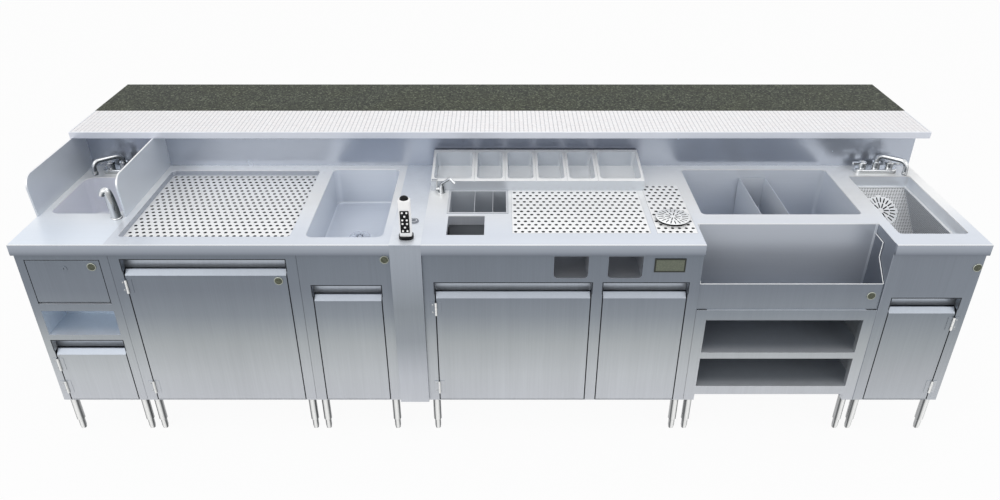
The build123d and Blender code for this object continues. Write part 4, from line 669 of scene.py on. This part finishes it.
# %% Stone
stone, shader, place, facing = new_finish("dark_stone", 0.0, 0.45)
shader.inputs["Specular IOR Level"].default_value = 0.10
ground = speckle(place, (140, 95, 95), 4.0)
drift = speckle(place, (5, 5, 5))
colour = blend(between(ground, 0.38, 0.62), (24, 29, 22), (70, 76, 62))
colour = blend(between(drift, 0.4, 0.7) * 0.4, colour, (66, 69, 54))
grit = place.node("ShaderNodeTexVoronoi", None, {"Vector": place, "Scale": 190.0}, "Color")
pale, black = place.node("ShaderNodeSeparateColor", None, {0: grit}, ("Red", "Green"))
colour = blend((pale > 0.88) * 0.7, colour, (116, 123, 104))
colour = blend((black > 0.80) * 0.8, colour, (20, 22, 18))
feed(shader, base_color=colour, roughness=drift * 0.10 + 0.40, normal=bump(ground, 0.05, 0.0003))
dress(stone, "stone_counter")

# %% [markdown]
# ## Modelling helpers
# Pieces are modelled as by hand: a block, a ring or a path, then edit-mode tools on faces or
# edges that are picked by where they lie or where they look. One helper turns a profile ring
# by ring, and one copies a model to each of its places, so that what repeats is modelled once.
# The last gives a finished piece its look and hands it to its body.

# %% Starting, picking and finishing
def only(piece):
    bpy.ops.object.select_all(action="DESELECT")
    piece.select_set(True)
    bpy.context.view_layer.objects.active = piece


def start_piece(name):
    piece = bpy.context.active_object
    piece.name = name
    bpy.ops.object.transform_apply(location=True, rotation=True, scale=True)
    return piece


def block(name, low, high):
    """A block between two corners."""
    bpy.ops.object.select_all(action="DESELECT")
    bpy.ops.mesh.primitive_cube_add(
        size=1, location=[(a + b) / 2 for a, b in zip(low, high)], scale=[b - a for a, b in zip(low, high)])
    return start_piece(name)


def pick(piece, test, kind="FACE"):
    """Select the faces or edges of a piece whose middle and direction pass the test."""
    bpy.ops.object.mode_set(mode="EDIT")
    bpy.ops.mesh.select_mode(type=kind)
    bpy.ops.mesh.select_all(action="DESELECT")
    shape = bmesh.from_edit_mesh(piece.data)
    if kind == "FACE":
        for face in shape.faces:
            face.select_set(bool(test(face.calc_center_median(), face.normal)))
    else:
        for edge in shape.edges:
            ends = edge.verts[0].co, edge.verts[1].co
            edge.select_set(bool(test((ends[0] + ends[1]) / 2, (ends[1] - ends[0]).normalized())))
    bmesh.update_edit_mesh(piece.data)


def round_edges(piece, offset, segments, test):
    pick(piece, test, "EDGE")
    bpy.ops.mesh.bevel(offset=offset, segments=segments, affect="EDGES")


def inset_faces(*steps):
    for thickness, depth in steps:
        bpy.ops.mesh.inset(thickness=thickness, depth=depth)


def hand_over(piece, body, material, angle=35):
    """Smooth the piece, give it its finish and let it ride on its body."""
    bpy.ops.object.mode_set(mode="OBJECT")
    only(piece)
    bpy.ops.object.shade_smooth_by_angle(angle=math.radians(angle))
    piece.data.materials.clear()
    piece.data.materials.append(material)
    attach(piece, body)
    print(piece.name, "on", body, len(piece.data.polygons), "faces")


print("helpers ready")

# %% Turning and copying
ORIGIN = (0, 0, 0)
FORWARD = (math.pi / 2, 0, 0)


def turned(name, centre, rings, steps=32, way=ORIGIN):
    """A turned piece: a ring is drawn out and widened or narrowed step by step along its axis."""
    bpy.ops.object.select_all(action="DESELECT")
    first_radius, first_height = rings[0]
    bpy.ops.mesh.primitive_circle_add(
        vertices=steps, radius=first_radius, fill_type="NGON", location=(0, 0, first_height))
    piece = start_piece(name)
    bpy.ops.object.mode_set(mode="EDIT")
    bpy.ops.mesh.select_all(action="SELECT")
    for (radius, height), (next_radius, next_height) in zip(rings, rings[1:]):
        bpy.ops.mesh.extrude_region_move(TRANSFORM_OT_translate={"value": (0, 0, next_height - height)})
        grow = next_radius / radius
        bpy.ops.transform.resize(value=(grow, grow, 1), center_override=(0, 0, next_height))
    bpy.ops.mesh.select_all(action="SELECT")
    bpy.ops.mesh.normals_make_consistent(inside=False)
    bpy.ops.object.mode_set(mode="OBJECT")
    piece.rotation_euler = way
    piece.location = centre
    return start_piece(name)


def copies(model, places):
    """Copies of a model at named places, each with its own mesh. The model itself goes."""
    bpy.ops.object.mode_set(mode="OBJECT")
    made = []
    for name, spot in places:
        only(model)
        bpy.ops.object.duplicate()
        bpy.context.active_object.location = spot
        made.append(start_piece(name))
    bpy.data.objects.remove(model)
    return made


print("turned pieces face up, or forward by", FORWARD)

# %% [markdown]
# ## Mosaic tiles
# The rail in front of the stone is laid with small square tiles, 14 rows deep. One tile is a
# block with its top edges rounded over. Two Array modifiers lay it out along the bar and
# across it. The tile stands for thousands, so it has few faces.
# The bed between the tiles is a slab with a rounded nose, a little lower than the tiles.

# %% Tile bed
TILE_ROWS = 14
TILE_COLUMNS = 197
BED_DROP = 0.0007
tile_low, tile_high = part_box("tile_rail")
tile_x = (tile_high[0] - tile_low[0]) / TILE_COLUMNS
tile_y = (tile_high[1] - tile_low[1]) / TILE_ROWS
bed_top = tile_high[2] - BED_DROP
bed = block("tile_bed", tile_low, (*tile_high[:2], bed_top))
round_edges(bed, 0.0012, 2, lambda middle, way: middle.z > bed_top - 1e-4 and abs(way.x) > 0.9)
print("tile pitch", round(tile_x * 1000, 2), "x", round(tile_y * 1000, 2), "mm")

# %% Bed finish
grout, shader, place, facing = new_finish("tile_grout", 0.0, 0.85)
sand = speckle(place, (700, 700, 700))
stain = speckle(place, (9, 9, 9), 3.0)
colour = blend(sand, (182, 184, 188), (202, 204, 208))
colour = blend(between(stain, 0.45, 0.8) * 0.35, colour, (166, 163, 166))
feed(shader, base_color=colour, roughness=sand * 0.1 + 0.8, normal=bump(sand, 0.3, 0.0003))
hand_over(bed, "station", grout)
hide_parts("tile_rail")

# %% Tile finish
glaze, shader, place, facing = new_finish("tile_glaze", 0.0, 0.22)
x, y, z = place.parts()
column = place.node("ShaderNodeMath", {"operation": "FLOOR"}, {0: (x - tile_low[0]) / tile_x})
row = place.node("ShaderNodeMath", {"operation": "FLOOR"}, {0: (y - tile_low[1]) / tile_y})
spot = place.node("ShaderNodeCombineXYZ", None, {0: column, 1: row})
chance, hue = place.node(
    "ShaderNodeTexWhiteNoise", {"noise_dimensions": "2D"}, {"Vector": spot}, ("Value", "Color"))
warm = place.node("ShaderNodeSeparateColor", None, {0: hue}, "Green")
colour = blend(warm, (250, 247, 248), (251, 251, 253))
colour = blend(chance * 0.4, colour, (238, 236, 239))
ripple = speckle(place, (120, 120, 120), 1.0)
feed(shader, base_color=colour, roughness=chance * 0.12 + ripple * 0.06 + 0.14)
feed(shader, normal=bump(ripple, 0.08, 0.0004))

# %% Tiles
TILE_THICK = 0.004
HALF_JOINT = 0.0017 / 2
tiles = block(
    "mosaic_tiles", (tile_low[0] + HALF_JOINT, tile_low[1] + HALF_JOINT, tile_high[2] - TILE_THICK),
    (tile_low[0] + tile_x - HALF_JOINT, tile_low[1] + tile_y - HALF_JOINT, tile_high[2]))
round_edges(tiles, 0.0009, 1, lambda middle, way: middle.z > tile_high[2] - 1e-4)
bpy.ops.object.mode_set(mode="OBJECT")
for axis, count, step in ((0, TILE_COLUMNS, tile_x), (1, TILE_ROWS, tile_y)):
    lay = tiles.modifiers.new("lay", "ARRAY")
    lay.count = count
    lay.use_relative_offset = False
    lay.use_constant_offset = True
    lay.constant_offset_displace = [step if axis == way else 0 for way in range(3)]
    bpy.ops.object.modifier_apply(modifier=lay.name)
hand_over(tiles, "station", glaze)
print(TILE_COLUMNS * TILE_ROWS, "tiles")

# %% [markdown]
# ## Plastic
# The soda gun and its holder are moulded plastic: white for the handle, black for the cap,
# the keypad and the holder. Moulded skin is never quite even, so a fine grain goes into the
# bump and a slow one into the shine. Rubbed spots are a little glossier.

# %% Plastic finishes
def plastic(name, low, high, roughness, grain=900, shine=0.5):
    material, shader, place, facing = new_finish(name, 0.0, roughness)
    skin = speckle(place, (grain, grain, grain))
    rubbed = speckle(place, (40, 40, 40))
    feed(shader, base_color=blend(rubbed, low, high), roughness=rubbed * 0.2 + roughness - 0.1)
    feed(shader, normal=bump(skin, 0.12, 0.0003))
    shader.inputs["Specular IOR Level"].default_value = shine
    return material


white_plastic = plastic("white_plastic", (250, 250, 250), (254, 254, 254), 0.34)
black_plastic = plastic("black_plastic", (10, 11, 13), (22, 23, 26), 0.5, shine=0.15)
grey_rubber = plastic("grey_rubber", (120, 124, 132), (146, 150, 158), 0.7, 400)
dress(black_plastic, "gun_holder")

# %% [markdown]
# ## Soda gun
# The gun stands in a low black holder at the front of the column. Its handle is a rounded
# bar. Ten keys sit in rows of two and one on a black pad, and a black dome closes the top.
# The handle is a block with rounded long edges, narrowed to the dome by extruding its top.

# %% Gun handle
KEYPAD_PROUD = 0.0032
CAP = 0.015
gun_low, gun_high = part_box("soda_gun")
gun_front = gun_low[1] + KEYPAD_PROUD
gun_x = (gun_low[0] + gun_high[0]) / 2
gun_y = (gun_front + gun_high[1]) / 2
gun_top = gun_high[2] - CAP
handle = block("gun_handle", (gun_low[0], gun_front, gun_low[2]), (*gun_high[:2], gun_top))
for behind, rounding in ((False, 0.0080), (True, 0.0115)):
    round_edges(
        handle, rounding, 6, lambda middle, way: abs(way.z) > 0.9 and (middle.y > gun_y) == behind)
pick(handle, lambda middle, normal: normal.z > 0.9)
for rise, share in ((0.0020, 0.985), (0.0015, 0.955), (0.0010, 0.93)):
    bpy.ops.mesh.extrude_region_move(TRANSFORM_OT_translate={"value": (0, 0, rise)})
    bpy.ops.transform.resize(value=(share, share, 1), center_override=(gun_x, gun_y, gun_top))
round_edges(handle, 0.0015, 2, lambda middle, way: middle.z < gun_low[2] + 1e-4)
hand_over(handle, "soda_gun", white_plastic, 50)
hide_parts("soda_gun")

# %% Gun cap
cap_low = gun_top + 0.0043
cap_rise = gun_high[2] - cap_low
cap = turned("gun_cap", (gun_x, gun_y, cap_low), [
    (0.0142, 0), (0.0140, cap_rise * 0.22), (0.0129, cap_rise * 0.48), (0.0104, cap_rise * 0.74),
    (0.0064, cap_rise * 0.93), (0.0020, cap_rise)])
hand_over(cap, "soda_gun", black_plastic, 60)

# %% Keypad
PAD_HALF = 0.0145
PAD_LENGTH = 0.078
PAD_RISE = 0.024
PAD_THICK = 0.002
pad_low = gun_low[2] + PAD_RISE
pad_high = pad_low + PAD_LENGTH
pad_front = gun_front - PAD_THICK
pad = block("gun_keypad", (gun_x - PAD_HALF, pad_front, pad_low), (gun_x + PAD_HALF, gun_front, pad_high))
round_edges(pad, 0.002, 4, lambda middle, way: abs(way.y) > 0.9)
pick(pad, lambda middle, normal: normal.y < -0.9)
inset_faces((0.0008, 0), (0.0004, -0.0004))
hand_over(pad, "soda_gun", black_plastic)

# %% Keys
KEY_ROWS = (2, 1, 2, 2, 1, 2)
KEY_SPREAD = 0.0072
KEY_SUNK = 0.0003
KEY_RINGS = [(0.0034, 0), (0.0034, 0.0008), (0.0031, 0.0012), (0.0023, 0.00145), (0.0010, 0.0015)]
keys = []
for row, count in enumerate(KEY_ROWS):
    height = pad_high - (row + 0.5) * PAD_LENGTH / len(KEY_ROWS)
    for side in ((0,) if count == 1 else (-1, 1)):
        spot = (gun_x + side * KEY_SPREAD, pad_front + KEY_SUNK, height)
        keys.append((f"gun_key_{len(keys) + 1}", spot))
for key in copies(turned("key", ORIGIN, KEY_RINGS, 24, FORWARD), keys):
    hand_over(key, "soda_gun", white_plastic, 60)

# %% [markdown]
# ## Badges and nameplate
# Five round badges sit on the fronts: a bright turned bezel round a dark, slightly domed
# face, left blank. The bezel is turned ring by ring and the face is a second shallow dome.
# The nameplate below the worktop is a dull plate in a thin dark frame, blank too.

# %% Badge finish
PLATE_LOW = (0.5027, -0.5247, 0.6937)
PLATE_HIGH = (0.6043, -0.5220, 0.7443)
PLATE_FRAME = 0.005
enamel, shader, place, facing = new_finish("dark_enamel", 0.3, 0.35)
patina = speckle(place, (260, 260, 260), 4.0)
mottle = speckle(place, (60, 60, 60))
colour = blend(between(patina, 0.35, 0.7), (58, 62, 48), (96, 100, 80))
colour = blend(mottle * 0.5, colour, (74, 78, 66))
x, y, z = place.parts()
plate_x = abs(x - (PLATE_LOW[0] + PLATE_HIGH[0]) / 2) - (PLATE_HIGH[0] - PLATE_LOW[0]) / 2
plate_z = abs(z - (PLATE_LOW[2] + PLATE_HIGH[2]) / 2) - (PLATE_HIGH[2] - PLATE_LOW[2]) / 2
on_plate = (plate_x < 0.001) * (plate_z < 0.001)
on_frame = on_plate * (((plate_x > -PLATE_FRAME) + (plate_z > -PLATE_FRAME)) > 0.5)
colour = blend(on_plate * 0.45, colour, (120, 127, 114))
colour = blend(on_frame, colour, (44, 47, 40))
feed(shader, base_color=colour, roughness=mottle * 0.25 + 0.25, normal=bump(patina, 0.15, 0.0004))

# %% Badges
FACE_Y = -0.522
TROUGH_Y = -0.517
FACE_SUNK = 0.0022
BEZEL_RINGS = [(0.0150, 0.0), (0.0150, 0.0018), (0.01455, 0.0025), (0.0135, 0.0027), (0.01275, 0.0024)]
BADGE_RINGS = [(0.0126, 0.0), (0.0120, 0.0004), (0.00825, 0.0007), (0.0030, 0.0008)]
BADGES = (
    ("towel_badge", -1.3300, FACE_Y, 0.7130, "towel_door"),
    ("glass_badge", -0.7284, FACE_Y, 0.6590, "glass_door"),
    ("ice_badge", -0.3746, FACE_Y, 0.7400, "station"),
    ("trough_badge", 1.2380, TROUGH_Y, 0.5970, "station"),
    ("dump_badge", 1.5558, FACE_Y, 0.7100, "station"))
bezel_places = [(f"{name}_bezel", (x, y, z)) for name, x, y, z, body in BADGES]
face_places = [(f"{name}_face", (x, y - FACE_SUNK, z)) for name, x, y, z, body in BADGES]
bezels = copies(turned("bezel", ORIGIN, BEZEL_RINGS, 40, FORWARD), bezel_places)
faces = copies(turned("face", ORIGIN, BADGE_RINGS, 40, FORWARD), face_places)
for badge, bezel, face in zip(BADGES, bezels, faces):
    hand_over(bezel, badge[-1], bezel_steel, 50)
    hand_over(face, badge[-1], enamel, 60)

# %% Nameplate
nameplate = block("nameplate", PLATE_LOW, PLATE_HIGH)
pick(nameplate, lambda middle, normal: normal.y < -0.9)
inset_faces((0.0016, 0), (0.0006, -0.0006), (0.0040, 0), (0.0004, 0.0003))
hand_over(nameplate, "station", enamel, 2)

# %% [markdown]
# ## Hem of the trough
# The trough's front panel and its stepped ends are thin sheet, so their upper edges are rolled
# over to a small bead that no hand is cut on. A straight-lined path follows the edges, and a
# round bevel turns the path into the bead.

# %% Trough hem
def along(name, kind, path, radius, roundness):
    """A round bar along a path; each point has its place and its share of the radius."""
    bpy.ops.object.select_all(action="DESELECT")
    bpy.ops.curve.primitive_nurbs_path_add(location=(0, 0, 0))
    piece = bpy.context.active_object
    piece.name = name
    spline = piece.data.splines[0]
    spline.type = kind
    spline.points.add(len(path) - len(spline.points))
    for point, (x, y, z, share) in zip(spline.points, path):
        point.co = (x, y, z, 1)
        point.radius = share
    spline.order_u = 4
    spline.use_endpoint_u = True
    piece.data.resolution_u = 8
    piece.data.bevel_depth = radius
    piece.data.bevel_resolution = roundness
    piece.data.use_fill_caps = True
    bpy.ops.object.convert(target="MESH")
    return piece


HEM_RADIUS = 0.0020
HEM_END = ((-0.3870, 0.7620), (-0.4470, 0.7620), (-0.4470, 0.7060), (-0.5162, 0.6430))
trough_low, trough_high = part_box("speed_rail_trough")
hem_path = [(trough_low[0] + HEM_RADIUS, y, z, 1) for y, z in HEM_END]
hem_path += [(trough_high[0] - HEM_RADIUS, y, z, 1) for y, z in reversed(HEM_END)]
hem = along("trough_hem", "POLY", hem_path, HEM_RADIUS, 3)
hand_over(hem, "station", pan_shine, 50)

# %% [markdown]
# ## Nosing caps
# Two worktops end beside the lower trough. There the fold of their front edge would stand open,
# so a small plate closes it. Each plate is a block with its edges rounded over.

# %% Nosing caps
DECK_SHEET = 0.002
NOSING_DROP = 0.038
CAP_SHEET = 0.0015
deck_low, deck_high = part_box("dump_sink_top")
plate = block("plate", (0, deck_low[1] + DECK_SHEET, deck_high[2] - NOSING_DROP),
              (CAP_SHEET, FACE_Y, deck_high[2] - DECK_SHEET))
round_edges(plate, 0.0004, 2, lambda middle, way: True)
ends = (("cocktail_nosing_cap", (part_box("cocktail_top")[1][0] - CAP_SHEET, 0, 0)),
        ("dump_nosing_cap", (deck_low[0], 0, 0)))
for end_cap in copies(plate, ends):
    hand_over(end_cap, "station", worktop_steel, 40)

# %% [markdown]
# ## Slotted rosettes
# The star of the rinser and the sloping plate of the dump basket both have rings of slots that
# point at a middle. One slot is a block with rounded ends. It is copied and turned round the
# middle until its ring is full, and a Boolean modifier cuts all rings out of the piece at once.

# %% Cutting slots
def cut_slots(piece, centre, rings, width, depth):
    """Cut rings of radial slots; a ring is its count, its middle radius and its slots' length."""
    cutters = []
    for count, radius, length in rings:
        reach = (length / 2, width / 2, depth / 2)
        middle = (centre[0] + radius, centre[1], centre[2])
        cutter = block(
            "slot_cutter", [a - b for a, b in zip(middle, reach)], [a + b for a, b in zip(middle, reach)])
        round_edges(cutter, width * 0.42, 3, lambda middle, way: abs(way.z) > 0.9)
        bpy.ops.mesh.select_all(action="SELECT")
        for _ in range(count - 1):
            bpy.ops.mesh.duplicate()
            bpy.ops.transform.rotate(value=2 * math.pi / count, orient_axis="Z", center_override=centre)
        bpy.ops.object.mode_set(mode="OBJECT")
        cutters.append(cutter)
    only(cutters[0])
    for cutter in cutters:
        cutter.select_set(True)
    bpy.ops.object.join()
    only(piece)
    cut = piece.modifiers.new("slots", "BOOLEAN")
    cut.operation = "DIFFERENCE"
    cut.solver = "EXACT"
    cut.object = cutters[0]
    bpy.ops.object.modifier_apply(modifier=cut.name)
    bpy.data.objects.remove(cutters[0])


print("slot cutter ready")

# %% Star
STAR_RADIUS = 0.058
STAR_EDGE = 0.0568
STAR_THICK = 0.003
STEM = 0.005
star_z = star_high[2] - STAR_THICK
star = turned("star_disc", (star_x, star_y, star_z), [
    (STEM, star_low[2] - star_z), (STEM, 0.0), (STAR_EDGE, 0.0), (STAR_RADIUS, 0.0009),
    (STAR_RADIUS, 0.0021), (STAR_EDGE, STAR_THICK), (0.006, STAR_THICK)], 64)
cut_slots(star, (star_x, star_y, star_high[2]), ((20, 0.0415, 0.021), (10, 0.0180, 0.018)), 0.0036, 0.010)
hand_over(star, "rinser_star", star_steel, 40)
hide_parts("rinser_star")

# %% [markdown]
# ## Dump basket
# The basket is made of punched sheet under a plain rim. A grid gives one square for each hole.
# Each square is inset, the corners of the small inner square are cut off, the eight-sided middle
# is deleted, and Solidify gives the sheet its thickness. The side walls are cut to the slope
# beforehand. The sloping plate keeps a plain round field for its rosette.

# %% Punched sheet
HOLE_PITCH = 0.0060
HOLE_WEB = 0.00105
HOLE_CORNER = 0.0011
BASKET_SHEET = 0.0015


def thicken(sheet):
    bpy.ops.object.mode_set(mode="OBJECT")
    thick = sheet.modifiers.new("thickness", "SOLIDIFY")
    thick.thickness = BASKET_SHEET
    thick.offset = -1
    bpy.ops.object.modifier_apply(modifier=thick.name)


def punched(name, length, width, has_hole, cut=None):
    """A flat punched sheet from the origin, its thickness below it; cut is a plane to trim it by."""
    bpy.ops.object.select_all(action="DESELECT")
    bpy.ops.mesh.primitive_grid_add(
        x_subdivisions=round(length / HOLE_PITCH), y_subdivisions=round(width / HOLE_PITCH), size=1,
        location=(length / 2, width / 2, 0))
    bpy.context.active_object.scale = (length, width, 1)
    sheet = start_piece(name)
    if cut:
        bpy.ops.object.mode_set(mode="EDIT")
        bpy.ops.mesh.select_all(action="SELECT")
        bpy.ops.mesh.bisect(plane_co=cut[0], plane_no=cut[1], clear_outer=True)
    pick(sheet, lambda middle, normal: has_hole(middle))
    bpy.ops.mesh.inset(thickness=HOLE_WEB, depth=0, use_individual=True)
    bpy.ops.mesh.bevel(offset=HOLE_CORNER, segments=1, affect="VERTICES")
    bpy.ops.mesh.select_all(action="DESELECT")
    bpy.ops.mesh.select_face_by_sides(number=8, type="EQUAL")
    bpy.ops.mesh.delete(type="FACE")
    thicken(sheet)
    return sheet


def set_sheet(sheet, place, turn):
    """Move and turn a flat sheet to its place in the basket and finish it."""
    only(sheet)
    sheet.location = place
    sheet.rotation_euler = turn
    bpy.ops.object.transform_apply(location=True, rotation=True, scale=True)
    hand_over(sheet, "dump_basket", basket_steel, 30)


print("holes", round(1000 * (HOLE_PITCH - 2 * HOLE_WEB), 2), "mm wide")

# %% Basket sizes
SLOPE = math.radians(40)
RIM_OVER = (0.0085, 0.0080)
basket_low, basket_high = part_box("dump_basket")
body_low = basket_low[0] + RIM_OVER[0], basket_low[1] + RIM_OVER[1], basket_low[2]
body_high = basket_high[0] - RIM_OVER[0], basket_high[1] - RIM_OVER[1], basket_high[2] - BASKET_SHEET
rise = body_high[2] - body_low[2]
knee = body_high[1] - rise / math.tan(SLOPE)
skin = BASKET_SHEET / math.sin(SLOPE)
inner_x = body_low[0] + BASKET_SHEET
inner_width = body_high[0] - body_low[0] - 2 * BASKET_SHEET
print("basket", round(inner_width, 4), "wide, knee at", round(knee, 4))

# %% Basket floor and front wall
floor_y = body_low[1] + BASKET_SHEET
floor_sheet = punched("basket_floor", inner_width, knee - skin - floor_y, lambda middle: True)
set_sheet(floor_sheet, (inner_x, floor_y, body_low[2] + BASKET_SHEET), (0, 0, 0))
front_sheet = punched("basket_front", inner_width, rise, lambda middle: True)
set_sheet(front_sheet, (inner_x, body_low[1], body_low[2]), FORWARD)

# %% Basket sides
trim_at = (knee - body_low[1], 0, 0)
trim_way = (math.sin(SLOPE), -math.cos(SLOPE), 0)


def inside_trim(middle):
    beyond = (middle[0] - trim_at[0]) * trim_way[0] + (middle[1] - trim_at[1]) * trim_way[1]
    return beyond < -0.75 * HOLE_PITCH


wall = punched("wall", body_high[1] - body_low[1], rise, inside_trim, (trim_at, trim_way))
left, right = copies(wall, (("basket_left", ORIGIN), ("basket_right", ORIGIN)))
for side, wall_x in ((left, inner_x), (right, body_high[0])):
    set_sheet(side, (wall_x, body_low[1], body_low[2]), (math.pi / 2, 0, math.pi / 2))

# %% Basket slope
ROSETTE = 0.0600
slope_width = rise / math.sin(SLOPE) - BASKET_SHEET
field = (inner_width / 2, slope_width / 2, 0)
slope_sheet = punched(
    "basket_slope", inner_width, slope_width, lambda middle: math.dist(middle, field) > ROSETTE)
cut_slots(slope_sheet, field, ((22, 0.044, 0.020), (11, 0.021, 0.020)), 0.0045, 0.010)
foot_y = knee - skin + BASKET_SHEET * math.cos(SLOPE)
set_sheet(slope_sheet, (inner_x, foot_y, body_low[2] + BASKET_SHEET * math.sin(SLOPE)), (SLOPE, 0, 0))

# %% Basket rim
RIM_CORNER = 0.0115
RIM_WIDTH = 0.0090
bpy.ops.object.select_all(action="DESELECT")
bpy.ops.mesh.primitive_plane_add(size=1, location=[(a + b) / 2 for a, b in zip(basket_low, basket_high)])
bpy.context.active_object.location[2] = basket_high[2]
bpy.context.active_object.scale = [b - a for a, b in zip(basket_low, basket_high)]
rim = start_piece("basket_rim")
bpy.ops.object.mode_set(mode="EDIT")
bpy.ops.mesh.select_mode(type="FACE")
bpy.ops.mesh.select_all(action="SELECT")
bpy.ops.mesh.bevel(offset=RIM_CORNER, segments=5, affect="VERTICES")
pick(rim, lambda middle, normal: True)
inset_faces((RIM_WIDTH, 0))
bpy.ops.mesh.delete(type="FACE")
thicken(rim)
hand_over(rim, "dump_basket", pan_shine, 30)
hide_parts("dump_basket")

# %% [markdown]
# ## Hose grommet
# Behind the gun, a soft grey ring lines the round hole in the column's top. It is one turned
# ring whose profile climbs, rounds over and drops into the bore.

# %% Grommet
grommet = turned("hose_grommet", (-0.2896, -0.3710, 0.800), [
    (0.0164, 0.0), (0.0164, 0.0030), (0.0152, 0.0050), (0.0128, 0.0057), (0.0104, 0.0052),
    (0.0086, 0.0036), (0.0080, 0.0012)], 36)
hand_over(grommet, "station", grey_rubber, 60)

# %% [markdown]
# ## Hinge barrels and screws
# Each door hangs on two small hinges. What shows from the front is the pale barrel beside the
# door, with two fine grooves where its knuckles meet. The barrel is turned as one piece round
# the hinge's own axis, so the door can swing inside it. Two small socket screws hold each leaf.

# %% Hinge barrels
HINGE_LENGTH = 0.053
BARREL = 0.0042
GROOVE = 0.0037
HINGE_Y = -0.5260
HINGES = (
    ("waste", -1.5436, (0.187, 0.288), -1), ("glass", -1.2308, (0.187, 0.612), -1),
    ("cocktail", -0.2148, (0.187, 0.523), -1), ("dump", 1.5356, (0.187, 0.462), 1))
barrel_rings = [(0.0030, 0.0), (BARREL, 0.0010)]
for joint in (HINGE_LENGTH / 3, 2 * HINGE_LENGTH / 3):
    barrel_rings += [(BARREL, joint - 0.0006), (GROOVE, joint - 0.0003)]
    barrel_rings += [(GROOVE, joint + 0.0003), (BARREL, joint + 0.0006)]
barrel_rings += [(BARREL, HINGE_LENGTH - 0.0010), (0.0030, HINGE_LENGTH)]
barrels = [(f"{door}_hinge_barrel_{number}", (x, HINGE_Y, z))
           for door, x, heights, side in HINGES for number, z in enumerate(heights, 1)]
for barrel in copies(turned("barrel", ORIGIN, barrel_rings, 20), barrels):
    hand_over(barrel, "station", barrel_steel, 40)

# %% Hinge screws
LEAF_Y = -0.5235
SCREW_OUT = 0.0110
SCREW_RINGS = [(0.0030, 0.0), (0.0030, 0.0004), (0.0026, 0.0009), (0.0015, 0.0010), (0.0013, 0.0003)]
spots = [(x + side * SCREW_OUT, LEAF_Y, z + share * HINGE_LENGTH)
         for door, x, heights, side in HINGES for z in heights for share in (0.22, 0.78)]
screws = [(f"hinge_screw_{number}", spot) for number, spot in enumerate(spots, 1)]
for screw in copies(turned("screw", ORIGIN, SCREW_RINGS, 18, FORWARD), screws):
    hand_over(screw, "station", chrome, 40)

# %% [markdown]
# ## Faucet tips and caps
# A spout ends in a screwed aerator, a short ring a little thicker than the tube. Each handle
# has a low round cap over its screw. Both are turned and ride on their own spout or lever.

# %% Aerators and handle caps
SPOUT_TIPS = ((-1.50283, -1.4224, "hand_faucet"), (1.50283, 1.4224, "dump_faucet"))
TIP_Y = -0.03347
TIP_LOW = 0.8165
CAP_TOP = 0.840
HANDLE_Y = 0.034
HANDLE_SPREAD = 0.0508
TIP_RINGS = [
    (0.0070, 0.0), (0.0096, 0.0006), (0.0102, 0.0020), (0.0102, 0.0085), (0.0097, 0.0092),
    (0.0097, 0.0100), (0.0102, 0.0106), (0.0102, 0.0130), (0.0094, 0.0138)]
BUTTON_RINGS = [(0.0085, 0.0), (0.0085, 0.0006), (0.0078, 0.0013), (0.0050, 0.0018), (0.0015, 0.0020)]
tips = [(f"{tap}_aerator", (tip_x, TIP_Y, TIP_LOW)) for tip_x, middle, tap in SPOUT_TIPS]
for aerator in copies(turned("tip", ORIGIN, TIP_RINGS), tips):
    hand_over(aerator, aerator.name.replace("aerator", "spout"), chrome, 40)
buttons = [(f"{tap}_{lever}_cap", (middle + side * HANDLE_SPREAD, HANDLE_Y, CAP_TOP))
           for tip_x, middle, tap in SPOUT_TIPS for side, lever in ((-1, "hot_lever"), (1, "cold_lever"))]
for button in copies(turned("button", ORIGIN, BUTTON_RINGS, 28), buttons):
    hand_over(button, button.name.removesuffix("_cap"), pan_shine, 60)

# %% [markdown]
# ## Soap dispenser
# At the hand sink's corner stands a smooth tapered spout. A NURBS path with a round bevel gives
# such a form at once: each point of the path has its own radius. The path becomes a mesh, the
# face at its tip is inset and sunk for the outlet, and a turned foot covers the joint with the
# worktop.

# %% Soap spout
SOAP_FOOT = (-1.2998, -0.3460, 0.800)
SOAP_RADIUS = 0.0150
FOOT_RINGS = [(0.0190, 0.0), (0.0190, 0.0030), (0.0182, 0.0046), (0.0162, 0.0056)]
SOAP_PATH = (
    (0.0, 0.0, 0.001, 1.06), (-0.001, 0.0, 0.032, 1.06), (-0.004, 0.0, 0.066, 1.0),
    (-0.007, -0.001, 0.096, 0.92), (-0.013, -0.003, 0.107, 0.80), (-0.023, -0.007, 0.099, 0.68),
    (-0.026, -0.009, 0.088, 0.62))
soap_path = [(*(a + b for a, b in zip(SOAP_FOOT, point)), point[3]) for point in SOAP_PATH]
soap = along("soap_spout", "NURBS", soap_path, SOAP_RADIUS, 7)
pick(soap, lambda middle, normal: math.dist(middle, soap_path[-1][:3]) < 0.002)
inset_faces((0.0020, 0), (0.0006, -0.0030))
hand_over(soap, "station", chrome, 60)
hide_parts("soap_dispenser")
foot = turned("soap_foot", SOAP_FOOT, FOOT_RINGS, 40)
hand_over(foot, "station", chrome, 40)
